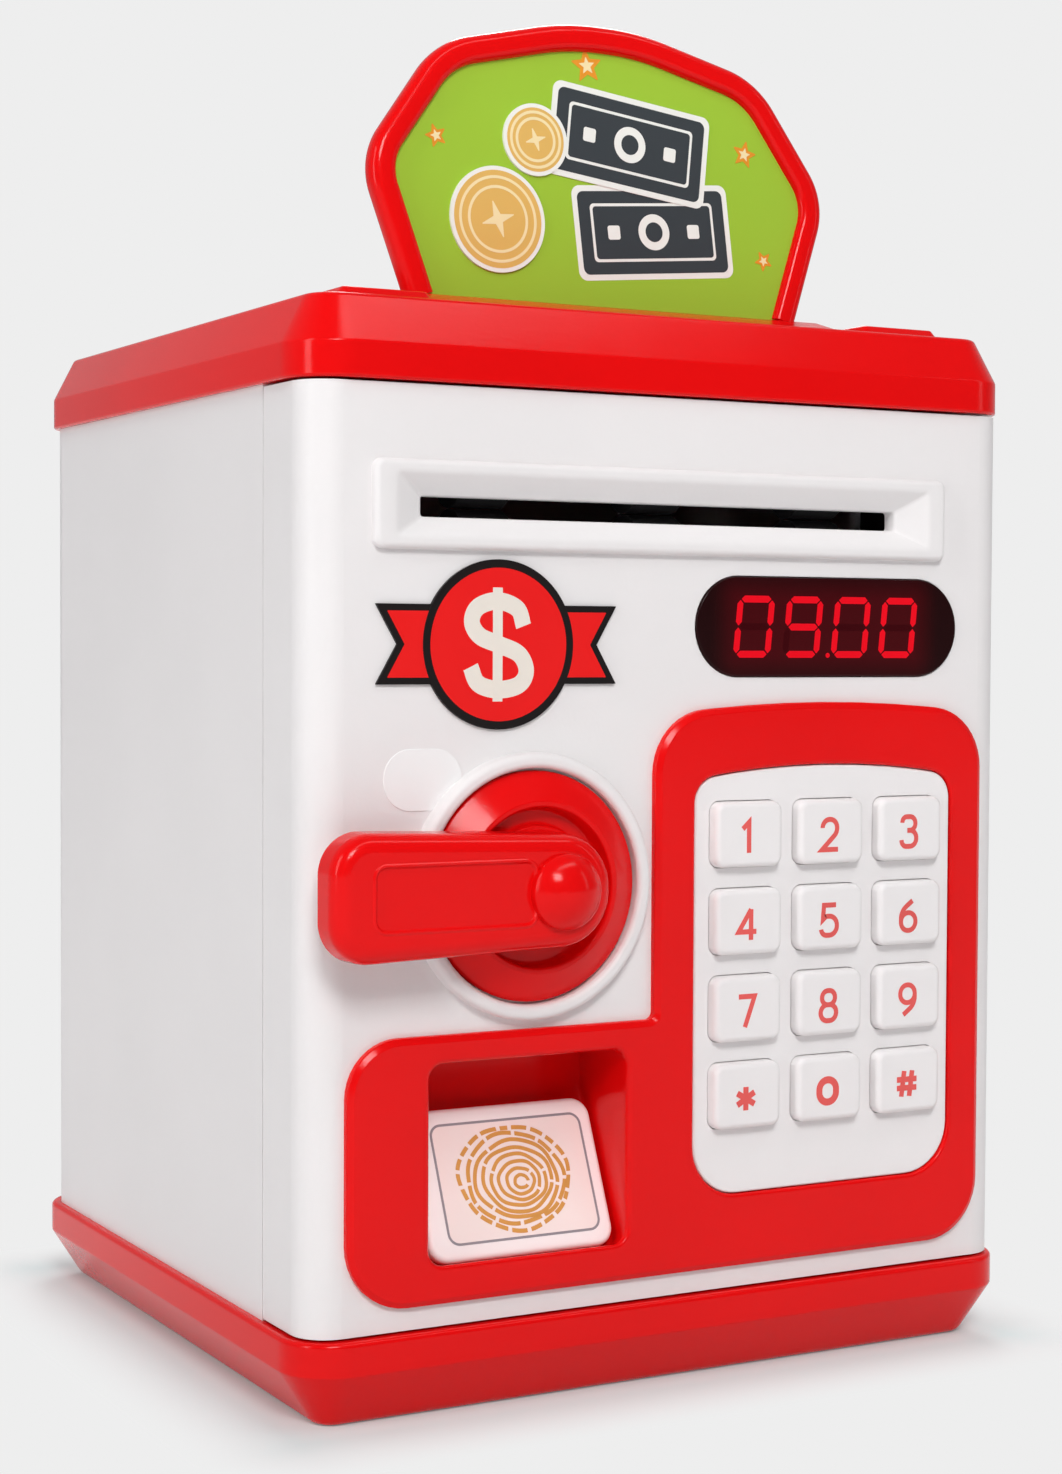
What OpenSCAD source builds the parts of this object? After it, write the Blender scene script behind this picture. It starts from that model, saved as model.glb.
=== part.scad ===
// Toy cash machine safe: a white case with a red base and lid, a hinged front
// door that carries a dial lock, a keypad, a note feed and a finger pad, and a
// sign that plugs into the lid. Millimetres, front at -Y, +Z up, with the
// origin on the floor under the middle of the base.

/* [Case] */
// Width of the lid across its skirt
lid_w = 135; // [130:1:150]
// Depth of the lid across its skirt
lid_d = 125; // [120:1:140]
// Radius of the upright corners of lid and base
case_corner_r = 9; // [7:0.5:11]
// How far the white case stands in from the lid's skirt
case_inset = 1.1; // [0.8:0.1:2]
// How far the base's rim stands out beyond the lid's skirt
base_overhang = 0.5; // [0:0.1:1.5]
// Height of the white case between base and lid
case_h = 147.1; // [145:0.5:160]
// Wall of the white case
case_wall = 2.2; // [1.8:0.1:2.6]
// Radius of the rear shell's upright corners
shell_corner_r = 8; // [6:0.5:10]

/* [Base] */
// Height of the base tray up to its rim
base_h = 14.4; // [13:0.1:18]
// Height at which the base's chamfer ends and its upright rim starts
base_bend_z = 9.1; // [8:0.1:10]
// How far the chamfer draws the underside in
base_chamfer_in = 5.8; // [4:0.1:6]
// Thickness of the tray's floor
base_floor_t = 2.4; // [2:0.1:3]
// Width of the ledge on which the case stands
base_ledge = 7.5; // [7:0.1:8]

/* [Lid] */
// Height of the lid's upright skirt
lid_skirt_h = 5.5; // [4:0.1:8]
// Height of the bevel above the skirt
lid_bevel_h = 7.7; // [6:0.1:10]
// How far the bevel leans in
lid_bevel_in = 3.9; // [3:0.1:5]
// Thickness of the lid's top
lid_top_t = 2.2; // [1.8:0.1:3]
// Length of the coin slot
coin_slot_l = 32; // [28:1:36]
// Width of the coin slot
coin_slot_w = 3.6; // [3:0.1:5]
// Distance from the lid's middle back to the coin slot
coin_slot_y = 14; // [8:1:30]
// Height of the raised lip round the coin slot
coin_lip_h = 1.2; // [0.6:0.1:2]
// Height of the low pads near the lid's corners
lid_pad_h = 1.8; // [1:0.1:3]
// Width of a pad
lid_pad_w = 17.4; // [10:0.1:18]
// Length of a pad
lid_pad_l = 33; // [16:1:34]
// Distance from a pad's middle to the lid's middle, sideways
lid_pad_x = 49.3; // [46:0.1:50]
// Distance from a pad's middle to the lid's middle, front to back
lid_pad_y = 37.5; // [34:0.5:38]

/* [Sign] */
// Half width of the sign at its feet
sign_foot_x = 37.5; // [36:0.5:42]
// Half width of the sign at its widest corner
sign_wide_x = 45; // [42:0.5:48]
// Height of the widest place above the seat
sign_wide_h = 22; // [17:0.5:24]
// Half width of the sign at its shoulders
sign_shoulder_x = 30.5; // [28:0.5:35]
// Height of the shoulders above the seat
sign_shoulder_h = 42; // [38:0.5:44]
// Half width of the sign's level crown
sign_crown_x = 7; // [5:0.1:12]
// Height of the sign's top above the seat
sign_top_h = 48.2; // [46:0.1:52]
// Degrees that the sign leans back from upright
sign_lean = 3.5; // [0:0.5:5]
// Radius of the sign's widest corners
sign_wide_r = 12; // [5:0.5:13]
// Radius of the sign's shoulders
sign_shoulder_r = 16; // [7:0.5:18]
// Radius of the crown's ends
sign_crown_r = 52; // [40:1:60]
// Width of the sign's red bead
sign_bead_w = 4.6; // [3.5:0.1:6]
// Thickness of the sign's red bead
sign_bead_t = 4.6; // [4:0.1:6]
// Thickness of the sign's panel
sign_panel_t = 1.6; // [1.2:0.1:2]
// Distance from the lid's middle forward to the sign
sign_y = 36; // [32:1:38]
// Height of the raised seat that holds the sign
sign_seat_h = 3.5; // [2.5:0.1:5]
// Depth that the sign's tabs go into the seat
sign_tab_depth = 5; // [4:0.1:5.5]

/* [Door] */
// Depth of the door from its face to its rear edge
door_depth = 17; // [17:0.5:20]
// Radius of the door's upright front corners
door_corner_r = 6; // [4:0.5:8]
// Gap between the door and the base or the lid
door_gap = 0.4; // [0.3:0.05:0.6]
// Gap between the door's rear edge and the rear shell
seam_gap = 0.3; // [0.3:0.05:0.6]
// Radius of the hinge pins
hinge_pin_r = 1.25; // [1:0.05:1.5]
// Radius of the door's knuckles round the pins
knuckle_r = 3.2; // [3:0.1:4]
// Height of a knuckle inside the door
knuckle_h = 9; // [6:0.5:12]
// Depth that a hinge pin is set into base or lid
hinge_pin_set = 7; // [5:0.5:7]
// Thickness of the door's inner cover
cover_t = 1.6; // [1.4:0.1:2]
// Height of the inner cover's left middle screw above the dial's axis
cover_screw_up = 25.5; // [24:0.5:27]
// Height of its right middle screw above the battery box's flange
cover_screw_over_box = 9.6; // [8:0.1:11]

/* [Dial and lever] */
// Distance of the dial's axis left of the middle
dial_left = 28.1; // [26:0.1:29]
// Height of the dial's axis above the door's lower edge
dial_up = 68.3; // [66:0.1:72]
// Outer radius of the raised ring round the dial
ring_r = 21; // [20:0.1:22]
// Inner radius of the raised ring
ring_bore_r = 18.7; // [17:0.1:19]
// Height of the raised ring
ring_h = 2.5; // [1.5:0.1:3]
// Radius of the dial
dial_r = 18.3; // [16:0.1:18.4]
// Radius of the edge between the dial's cone and its groove
dial_crest_r = 13.4; // [11:0.1:14]
// Radius of the hub in the dial's groove
dial_hub_r = 9; // [8:0.1:10]
// Height of the dial's rim above the door's face
dial_rim_h = 1.2; // [0.8:0.1:2]
// Height of the dial's crest above the door's face
dial_crest_h = 4; // [3:0.1:4.5]
// Height of the lever's back above the door's face
lever_back_h = 5; // [4.8:0.1:6]
// Thickness of the lever
lever_t = 6.5; // [5.5:0.1:8]
// Length of the lever from the axis to its free end
lever_l = 39; // [35:0.5:41]
// Width of the lever's free end
lever_end_w = 20; // [17:0.1:21]
// Radius of the lever's round end at the axis
lever_hub_r = 9; // [8:0.1:9.2]
// Radius of the corners of the lever's free end
lever_end_r = 6.5; // [4:0.1:7]
// Length of the shallow inset on the lever's face
inset_l = 27; // [20:0.5:28]
// Width of the inset
inset_w = 11; // [8:0.5:13]
// Radius of the inset's corners
inset_r = 2; // [1:0.1:3]
// Distance from the axis to the inset's middle
inset_reach = 18.6; // [18:0.1:20]
// Radius of the domed cap
cap_r = 5.9; // [5:0.1:6.5]
// Height of the domed cap
cap_h = 3; // [2:0.1:4]
// Radius of the dial's shaft
shaft_r = 4; // [3.5:0.1:4.5]
// Radius of the shaft's end that carries the latch arm
arm_seat_r = 2.6; // [2.2:0.1:3]
// Length of the latch arm from the axis
arm_l = 32; // [31:0.5:33]
// Width of the latch arm
arm_w = 8; // [6:0.5:9]
// Radius of the latch arm's eye
arm_eye_r = 6; // [5:0.5:7]
// Thickness of the latch arm
arm_t = 3; // [2.5:0.1:4]
// Thickness of the strike's lip
strike_t = 1.8; // [1.5:0.1:2.2]
// Running gap between strike and latch arm
strike_gap = 0.8; // [0.5:0.1:1.2]
// Distance from the axis to the lock's plunger
plunger_left = 19.9; // [19:0.1:21]
// Radius of the lock's plunger
plunger_r = 2; // [1.5:0.1:2.2]
// Travel of the lock's plunger
plunger_travel = 5.2; // [5:0.1:6]

/* [Red panel and finger pad] */
// Left edge of the panel's keypad part, right of the middle
panel_left = -5.6; // [-6:0.1:-5]
// Right edge of the panel
panel_right = 60.4; // [59:0.1:62]
// Left edge of the panel's low part
panel_low_left = -60.2; // [-61:0.1:-58]
// Height of the panel's lower edge above the door's lower edge
panel_up = 3.7; // [2:0.1:5]
// Height of the low part
panel_low_h = 42; // [41.8:0.1:43]
// Gap between the panel's arched top and the display window
window_gap = 4.25; // [3.5:0.05:5]
// Rise of the arched top edges
arch_rise = 2.1; // [1:0.1:3]
// Radius of the panel's corners
panel_corner_r = 10.5; // [8:0.1:10.8]
// Thickness of the panel on the door's face
panel_t = 1.6; // [1.2:0.1:2]
// Left edge of the finger recess, right of the middle
recess_left = -46.2; // [-47:0.1:-45]
// Width of the finger recess
recess_w = 35.5; // [34:0.1:36]
// Height of the recess's top edge above the door's lower edge
recess_top_up = 41.3; // [40:0.1:41.5]
// Depth of the recess behind the door's face
recess_depth = 14.2; // [14:0.1:14.2]
// Wall of the recess
recess_wall = 1; // [0.8:0.1:1]
// Lean of the finger pad back from upright, in degrees
pad_tilt = 24; // [23:0.5:26]
// Length of the finger pad up its slope
pad_l = 24.6; // [22:0.1:25]
// Width of the finger pad
pad_w = 33.2; // [31:0.1:33.5]
// Thickness of the finger pad
pad_t = 2; // [1.6:0.1:2]
// Travel of the finger pad
pad_travel = 0.9; // [0.6:0.1:0.9]
// Height of the pad's front lower edge above the door's lower edge
pad_up = 9.5; // [9:0.1:10.5]

/* [Keypad] */
// Left edge of the white plate, right of the middle
plate_left = 1.95; // [1.5:0.05:3]
// Right edge of the white plate
plate_right = 53.6; // [53:0.1:54.5]
// Height of the plate's lower edge above the door's lower edge
plate_up = 15.9; // [14:0.1:17]
// Drop from the panel's upper corners to the plate's
plate_drop = 10.5; // [9:0.1:12]
// Thickness of the plate
plate_t = 1.2; // [1:0.1:1.4]
// Radius of the plate's upper corners
plate_top_r = 4.5; // [3:0.1:6]
// Radius of the plate's lower corners
plate_low_r = 8.5; // [6:0.1:10]
// Gap between two columns of keys
key_col_gap = 3.15; // [2.4:0.05:4]
// Gap between two rows of keys
key_row_gap = 3.45; // [2.2:0.05:3.5]
// Margin of the plate left of the keys
key_margin_left = 2.75; // [2.2:0.05:4]
// Margin of the plate right of the keys
key_margin_right = 3; // [2:0.1:4]
// Margin between the top keys and the plate's upper corners
key_margin_top = 3.575; // [2:0.025:6]
// Margin between the low keys and the plate's lower edge
key_margin_low = 10.975; // [5:0.025:12]
// How far a key stands proud of the plate
key_proud = 2.2; // [1.6:0.1:3]
// Travel of a key
key_travel = 1.2; // [0.8:0.1:1.3]
// Gap round a key in its hole
key_gap = 0.3; // [0.2:0.05:0.4]
// Radius of a key's corners
key_corner_r = 1.8; // [1.2:0.1:3]

/* [Window, badge and note feed] */
// Distance of the display window's middle right of the door's middle
window_x = 28.9; // [28:0.1:30]
// Drop from the lid down to the window's middle
window_drop = 37.2; // [36.5:0.1:37.4]
// Width of the window
window_w = 52.8; // [50:0.1:54]
// Height of the window
window_h = 16.5; // [15:0.1:17]
// How far the window stands proud of the door's face
window_proud = 0.4; // [0.3:0.1:0.8]
// Distance of the badge's middle left of the door's middle
badge_left = 33.7; // [32:0.1:35]
// Gap between the badge's disc and the bezel over it
badge_over_gap = 1.15; // [1:0.05:3]
// Gap between the badge's disc and the dial's ring under it
badge_under_gap = 3.9; // [3:0.1:5]
// Reach of the badge's ribbons from its middle
badge_reach = 21.2; // [18:0.1:22]
// Height of the badge's ribbons
badge_ribbon_h = 12.4; // [10:0.1:13]
// Depth of the notch in a ribbon's end
badge_notch = 3.6; // [2:0.1:5]
// Thickness of the badge
badge_t = 0.5; // [0.4:0.1:0.8]
// Distance of the note slot's middle left of the door's middle
slot_left = 1.8; // [0:0.1:2]
// Drop from the lid down to the note slot
slot_drop = 18.85; // [18:0.05:20]
// Width of the note slot
slot_w = 92; // [88:0.5:93]
// Height of the note slot
slot_h = 3; // [2.4:0.1:3.6]
// Width of the bezel
bezel_w = 108; // [106:0.5:110]
// Height of the bezel
bezel_h = 13.8; // [12.6:0.1:14]
// Thickness of the bezel's rim on the door's face
bezel_t = 1.6; // [1.2:0.1:2]
// Width of the bezel's rim beside the funnel
bezel_rim_w = 4; // [2.8:0.1:5]
// Height of the bezel's rim over and under the funnel
bezel_rim_h = 2.3; // [1.2:0.1:2.6]
// Depth of the bezel's funnel
funnel_depth = 2.6; // [2:0.1:4.6]
// Depth of the bezel's collar from its face to its rear edge
collar_depth = 5.2; // [5:0.1:5.4]
// Gear tooth size, the pitch circle's diameter for each tooth
gear_module = 0.6; // [0.58:0.01:0.62]
// Radius of the feed rollers' tyres
tyre_r = 5; // [4.8:0.05:5.05]
// Width of a tyre
tyre_w = 9; // [6:0.5:12]
// Distance between tyres
tyre_pitch = 32; // [28:1:34]
// Radius of the feed shafts
feed_shaft_r = 1.5; // [1.2:0.1:2]
// Radius of the feed motor
motor_r = 5.5; // [5:0.1:5.6]
// Length of the feed motor
motor_l = 18; // [15:0.5:22]

/* [Battery box] */
// Radius of a cell
cell_r = 7.25; // [7:0.05:7.3]
// Length of a cell
cell_l = 50.5; // [49:0.1:51]
// Distance between cell middles
cell_pitch = 15; // [14.8:0.1:15.4]
// Wall of the battery box
box_wall = 1.5; // [1.2:0.1:1.8]
// Gap between the speaker and the battery box under it
box_drop = 6; // [5:0.1:7.5]
// Distance of the battery box's middle right of the door's middle
box_x = 29.5; // [27:0.5:30]

/* [Fits] */
// Radial clearance of a turning shaft in its bore
turn_clear = 0.06; // [0.04:0.01:0.08]
// Radial clearance of a fixed pin or screw in its hole
set_clear = 0.02; // [0.01:0.01:0.04]
// Clearance round a piece that drops into a cutout
fit_clear = 0.15; // [0.1:0.01:0.25]
// Gap between a piece and the face that it rests near
seat_gap = 0.2; // [0.1:0.01:0.25]

/* [Hidden] */
$fn = 48;

red = [0.86, 0.08, 0.08];
white = [0.93, 0.92, 0.92];
green = [0.60, 0.76, 0.18];
steel = [0.72, 0.73, 0.75];
dark = [0.12, 0.12, 0.13];
brass_tone = [0.80, 0.66, 0.34];
amber = [0.90, 0.62, 0.28];
board_green = [0.10, 0.40, 0.22];

// Case outline and levels
case_w = lid_w - 2 * case_inset;
case_d = lid_d - 2 * case_inset;
case_x = case_w / 2;
face_y = -case_d / 2;
case_top = base_h + case_h;
lid_bend_z = case_top + lid_skirt_h;
lid_top = lid_bend_z + lid_bevel_h;
base_w = lid_w + 2 * base_overhang;
base_d = lid_d + 2 * base_overhang;
tray_x = base_w / 2 - base_ledge;
tray_y = base_d / 2 - base_ledge;
tray_corner_r = 4;
lid_hollow_x = lid_w / 2 - lid_bevel_in - 1.6;
lid_hollow_y = lid_d / 2 - lid_bevel_in - 1.6;

// Door levels, front to back
door_wall_y = face_y + case_wall;
door_back_y = face_y + door_depth;
shell_front_y = door_back_y + seam_gap;
door_low = base_h + door_gap;
door_high = case_top - door_gap;
cover_back_y = door_back_y;
cover_front_y = cover_back_y - cover_t;
hinge_x = case_x - knuckle_r;
hinge_y = door_back_y - knuckle_r;

// Screw posts between base, shell and lid
post_r = 3.5;
post_h = 10;
post_x = tray_x - post_r - 0.4;
post_back_y = tray_y - post_r - 0.4;
post_front_y = shell_front_y + post_r + 4.6;
post_places = [for (x = [-post_x, post_x], y = [post_front_y, post_back_y]) [x, y]];
case_screw_r = 1.3;
case_screw_head_r = 2.8;
case_screw_head_t = 1.8;
screw_boss_h = 5.5;
counterbore_h = 3;
screw_bite = 8;

// Sign
seat_top = lid_top + sign_seat_h;
seat_half_w = sign_foot_x + 3.8;
seat_front_y = -sign_y - 16;
seat_back_y = -sign_y + 6;
// Lift that keeps the leaning sign's rear lower edge on the seat
sign_lift = sign_bead_t / 2 * tan(sign_lean);
sign_tab_w = 5;
sign_tab_t = 3;
sign_tab_x = sign_foot_x - sign_bead_w / 2 - 0.3;
sign_groove_x = sign_tab_x - sign_tab_w / 2 - 0.8;
panel_lip = 1.1;
panel_tongue = 1.5;

// Dial
dial_x = -dial_left;
dial_z = door_low + dial_up;
groove_floor_h = 1.2;
shaft_end_y = cover_back_y + seam_gap + strike_t + strike_gap + arm_t;
arm_front_y = shaft_end_y - arm_t;
strike_front_y = shell_front_y;
strike_x = -case_x + case_wall;
strike_lip = 8;
strike_leg_t = 1.8;
strike_h = 18;
strike_leg_l = 14;
cap_ball_r = (cap_r * cap_r + cap_h * cap_h) / (2 * cap_h);
lever_back_y = face_y - lever_back_h;
lever_face_y = lever_back_y - lever_t;
handle_screw_r = 1.2;
handle_screw_bite = 8;
washer_r = 4;
washer_t = 1.6;
plunger_x = dial_x - plunger_left;
plunger_z = dial_z - arm_w / 2 - plunger_r - 0.6;
solenoid_w = 10;
solenoid_h = 11;

// Panel, recess and finger pad; points in the side view are [y, z]
window_z = case_top - window_drop;
panel_front_y = face_y - panel_t;
panel_low = door_low + panel_up;
panel_top = window_z - window_h / 2 - window_gap - arch_rise;
pad_foot = [face_y + 0.6, door_low + pad_up];
pad_rise = [sin(pad_tilt), cos(pad_tilt)];
pad_in = [cos(pad_tilt), -sin(pad_tilt)];
pad_side_gap = 0.4;
shelf_w = pad_t + pad_travel + 0.2;
shelf_t = 1.2;
recess_right = recess_left + recess_w;
recess_back_y = face_y + recess_depth;
recess_top = door_low + recess_top_up;
pad_mid_x = (recess_left + recess_right) / 2;
stem_r = 2.5;
stem_up = 8;
stem_end_w = shelf_w + shelf_t + 0.2;
switch_w = stem_end_w + pad_travel + 0.15;
switch_t = 1.5;
switch_side = 4.5;
switch_board_t = 0.9;
switch_board_l = 8;
switch_board_w = 14;
switch_post_r = 1.1;

// Keypad
plate_low = door_low + plate_up;
plate_top = panel_top - plate_drop;
plate_front_y = face_y - plate_t;
key_w = (plate_right - plate_left - key_margin_left - key_margin_right - 2 * key_col_gap) / 3;
key_h = (plate_top - plate_low - key_margin_top - key_margin_low - 3 * key_row_gap) / 4;
key_pitch_x = key_w + key_col_gap;
key_pitch_z = key_h + key_row_gap;
key_front_y = plate_front_y - key_proud;
key_rows_mid_z = plate_low + key_margin_low + 1.5 * key_pitch_z + key_h / 2;
key_cols_mid_x = plate_left + key_margin_left + key_pitch_x + key_w / 2;
key_flange = 0.7;
key_flange_t = 0.8;
key_flange_front_y = face_y + seat_gap;
membrane_front_y = door_wall_y + 0.1;
membrane_t = 1;
key_board_t = 1.4;
key_board_front_y = membrane_front_y + membrane_t + seat_gap;
keypad_side = 1.5;

// Window, badge and display
bezel_low = case_top - slot_drop - bezel_h / 2;
ring_top = dial_z + ring_r;
badge_x = -badge_left;
badge_r = (bezel_low - badge_over_gap - ring_top - badge_under_gap) / 2;
badge_z = ring_top + badge_under_gap + badge_r;
window_lip_y = door_wall_y;
display_w = 40;
display_h = 13;
display_t = 4;
display_y = door_wall_y + 0.6;

// Note feed
slot_x = -slot_left;
slot_z = case_top - slot_drop;
bezel_front_y = face_y - bezel_t;
funnel_w = bezel_w - 2 * bezel_rim_w;
funnel_h = bezel_h - 2 * bezel_rim_h;
collar_w = bezel_w - 7.4;
collar_h = bezel_h - 2.4;
throat_w = slot_w + 3;
throat_h = slot_h + 3;
collar_back_y = bezel_front_y + collar_depth;
roller_teeth = 17;
idler_teeth = 18;
pinion_teeth = 9;
pressure_angle = 25;
addendum = 0.8;
tooth_play = 0.16;
feed_y = (door_wall_y + cover_front_y) / 2;
upper_z = slot_z + roller_teeth * gear_module / 2;
lower_z = slot_z - roller_teeth * gear_module / 2;
idler_z = lower_z - (roller_teeth + idler_teeth) * gear_module / 2;
motor_z = idler_z - (idler_teeth + pinion_teeth) * gear_module / 2;
frame_plate_t = 2;
frame_half = 50;
frame_left = slot_x - frame_half;
frame_right = slot_x + frame_half;
frame_front_y = door_wall_y + seat_gap;
frame_back_y = cover_front_y - seat_gap;
frame_top = upper_z + 5.5;
frame_low = lower_z - 5.5;
gear_t = 3;
gear_gap = 0.6;
gear_left = frame_left - gear_gap - gear_t;
idler_pin_r = 1.2;
motor_shaft_r = 0.8;
motor_shelf_t = 1.4;
guide_t = 1;

// Battery box
box_in_w = 3 * cell_pitch + 1.2;
contact_t = 0.6;
contact_gap = 1.4;
box_in_h = cell_l + 2 * (contact_t + contact_gap);
box_front_y = key_board_front_y + key_board_t + 5;
cell_y = box_front_y + box_wall + seat_gap + cell_r;
box_back_y = cell_y + cell_r + 0.9;
battery_cover_t = 1.6;
box_flange = 2.5;
box_flange_t = 1.2;
contact_w = 8;

// Speaker
speaker_r = 13.5;
speaker_t = 5.8;
speaker_z = window_z - 8.3;
box_z = speaker_z - speaker_r - box_drop - box_wall - box_in_h / 2;

// Inner cover
cover_left = -case_x + case_wall + 0.3;
cover_right = hinge_x - knuckle_r - 0.3;
cover_low = door_low + case_wall + 0.3;
cover_high = door_high - case_wall - 0.3;
cover_boss_r = 2.6;
cover_screw_r = 1;
cover_screw_bite = 6;
cover_boss_left_x = cover_left + 3.6;
cover_boss_right_x = cover_right - 3.6;
cover_boss_low_z = cover_low + 1.9;
cover_boss_high_z = cover_high - 2.4;
cover_boss_mid_z = dial_z + cover_screw_up;
cover_boss_box_z = box_z + box_in_h / 2 + box_wall + box_flange + cover_screw_over_box;
cover_bosses = [[cover_boss_left_x, cover_boss_low_z], [cover_boss_right_x, cover_boss_low_z],
    [cover_boss_left_x, cover_boss_mid_z], [cover_boss_right_x, cover_boss_box_z],
    [cover_boss_left_x, cover_boss_high_z], [cover_boss_right_x, cover_boss_high_z]];

// Rounded rectangle in plan, centred
module rounded_plan(w, d, r) {
    square([w - 2 * r, d], center = true);
    square([w, d - 2 * r], center = true);
    for (sx = [-1, 1], sy = [-1, 1])
        translate([sx * (w / 2 - r), sy * (d / 2 - r)])
            circle(r = r);
}

// Upright block with a rounded plan
module rounded_block(w, d, r, h) {
    linear_extrude(height = h)
        rounded_plan(w, d, r);
}

// Block whose four sides lean in towards the top, with cone corners
module leaning_block(w, d, r, h, inset) {
    translate([-(w / 2 - r), 0, 0])
        rotate([90, 0, 90])
            linear_extrude(height = w - 2 * r)
                polygon([[-d / 2, 0], [d / 2, 0], [d / 2 - inset, h], [-d / 2 + inset, h]]);
    translate([0, d / 2 - r, 0])
        rotate([90, 0, 0])
            linear_extrude(height = d - 2 * r)
                polygon([[-w / 2, 0], [w / 2, 0], [w / 2 - inset, h], [-w / 2 + inset, h]]);
    for (sx = [-1, 1], sy = [-1, 1])
        translate([sx * (w / 2 - r), sy * (d / 2 - r), 0])
            cylinder(r1 = r, r2 = r - inset, h = h);
}

// Flat shape drawn as seen from the front, from y0 back through t
module front_slab(y0, t) {
    translate([0, y0 + t, 0])
        rotate([90, 0, 0])
            linear_extrude(height = t)
                children();
}

// Flat shape drawn as seen from the side, [y, z], from x0 to the right through t
module side_slab(x0, t) {
    translate([x0, 0, 0])
        rotate([90, 0, 90])
            linear_extrude(height = t)
                children();
}

module rod_y(x, z, y0, l, r) {
    translate([x, y0, z])
        rotate([-90, 0, 0])
            cylinder(r = r, h = l);
}

module rod_x(y, z, x0, l, r) {
    translate([x0, y, z])
        rotate([0, 90, 0])
            cylinder(r = r, h = l);
}

module rod_z(x, y, z0, l, r) {
    translate([x, y, z0])
        cylinder(r = r, h = l);
}

// Box from its low corner to its high corner
module span(low, high) {
    translate(low)
        cube(high - low);
}

function unit(v) = v / norm(v);
function arc_count(r) = r > 4 ? 8 : 5;

// Points of the arc that rounds corner p between neighbours a and b
function corner_arc(a, p, b, r) =
    r <= 0 ? [p] :
    let (u = unit(a - p), v = unit(b - p), half = acos(max(-1, min(1, u * v))) / 2)
    let (c = p + unit(u + v) * r / sin(half))
    let (s = p + u * r / tan(half) - c, e = p + v * r / tan(half) - c)
    let (a0 = atan2(s[1], s[0]), turn = atan2(e[1], e[0]) - a0)
    let (sweep = turn > 180 ? turn - 360 : (turn < -180 ? turn + 360 : turn), n = arc_count(r))
    [for (k = [0:n]) c + r * [cos(a0 + sweep * k / n), sin(a0 + sweep * k / n)]];

// Outline with every corner rounded by its own radius
function rounded_outline(points, radii) =
    let (n = len(points))
    [for (i = [0:n - 1])
        each corner_arc(points[(i + n - 1) % n], points[i], points[(i + 1) % n], radii[i])];

// Corners of a left-turning outline with every edge drawn in by d
function inward(a, b) = let (u = unit(b - a)) [-u[1], u[0]];
function inset_points(points, d) =
    let (n = len(points))
    [for (i = [0:n - 1])
        let (m = inward(points[(i + n - 1) % n], points[i]), k = inward(points[i], points[(i + 1) % n]))
        points[i] + d * (m + k) / (1 + m * k)];

// Points along an arched top edge, right to left, between its two corners
function arch_points(left, right, z, rise, margin) =
    [for (k = [6:-1:0])
        let (s = (margin + (1 - 2 * margin) * k / 6))
        [left + (right - left) * s, z + rise * 4 * s * (1 - s)]];

// One involute gear outline with a tooth on +X
function flank(rb, t) = [rb * sqrt(1 + t * t), t * 180 / PI - atan(t)];
function gear_outline(teeth) =
    let (rp = teeth * gear_module / 2, rb = rp * cos(pressure_angle))
    let (ra = rp + addendum * gear_module, rr = rp - (addendum + 0.35) * gear_module)
    let (inv = tan(pressure_angle) * 180 / PI - pressure_angle)
    let (half = 90 / teeth - tooth_play / (2 * rp) * 180 / PI + inv)
    let (t_tip = sqrt(ra * ra / (rb * rb) - 1))
    [for (i = [0:teeth - 1])
        let (mid = i * 360 / teeth)
        each concat([[rr * cos(mid - half), rr * sin(mid - half)]],
            [for (k = [0:3])
                let (f = flank(rb, t_tip * k / 3))
                f[0] * [cos(mid - half + f[1]), sin(mid - half + f[1])]],
            [for (k = [3:-1:0])
                let (f = flank(rb, t_tip * k / 3))
                f[0] * [cos(mid + half - f[1]), sin(mid + half - f[1])]],
            [[rr * cos(mid + half), rr * sin(mid + half)]])];

module gear(x0, z, teeth, phase, bore) {
    translate([x0, feed_y, z])
        rotate([90, 0, 90])
            linear_extrude(height = gear_t)
                difference() {
                    rotate(phase)
                        polygon(gear_outline(teeth));
                    circle(r = bore);
                }
}

// Screw with its head's underside at the origin and its thread towards +Z
module screw(r, head_r, head_t, l) {
    cylinder(r = r, h = l);
    translate([0, 0, -head_t])
        cylinder(r = head_r, h = head_t);
}

module base_tray() {
    color(red)
        difference() {
            union() {
                translate([0, 0, base_bend_z])
                    mirror([0, 0, 1])
                        leaning_block(base_w, base_d, case_corner_r, base_bend_z, base_chamfer_in);
                translate([0, 0, base_bend_z])
                    rounded_block(base_w, base_d, case_corner_r, base_h - base_bend_z);
            }
            difference() {
                translate([0, 0, base_floor_t])
                    rounded_block(2 * tray_x, 2 * tray_y, tray_corner_r, base_h);
                for (p = post_places)
                    rod_z(p[0], p[1], 0, screw_boss_h, post_r);
            }
            for (p = post_places) {
                rod_z(p[0], p[1], -1, counterbore_h + 1, case_screw_head_r + 0.4);
                rod_z(p[0], p[1], -1, screw_boss_h + 2, case_screw_r + 0.3);
            }
            rod_z(hinge_x, hinge_y, base_h - hinge_pin_set, hinge_pin_set + 1, hinge_pin_r + set_clear);
        }
}

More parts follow.
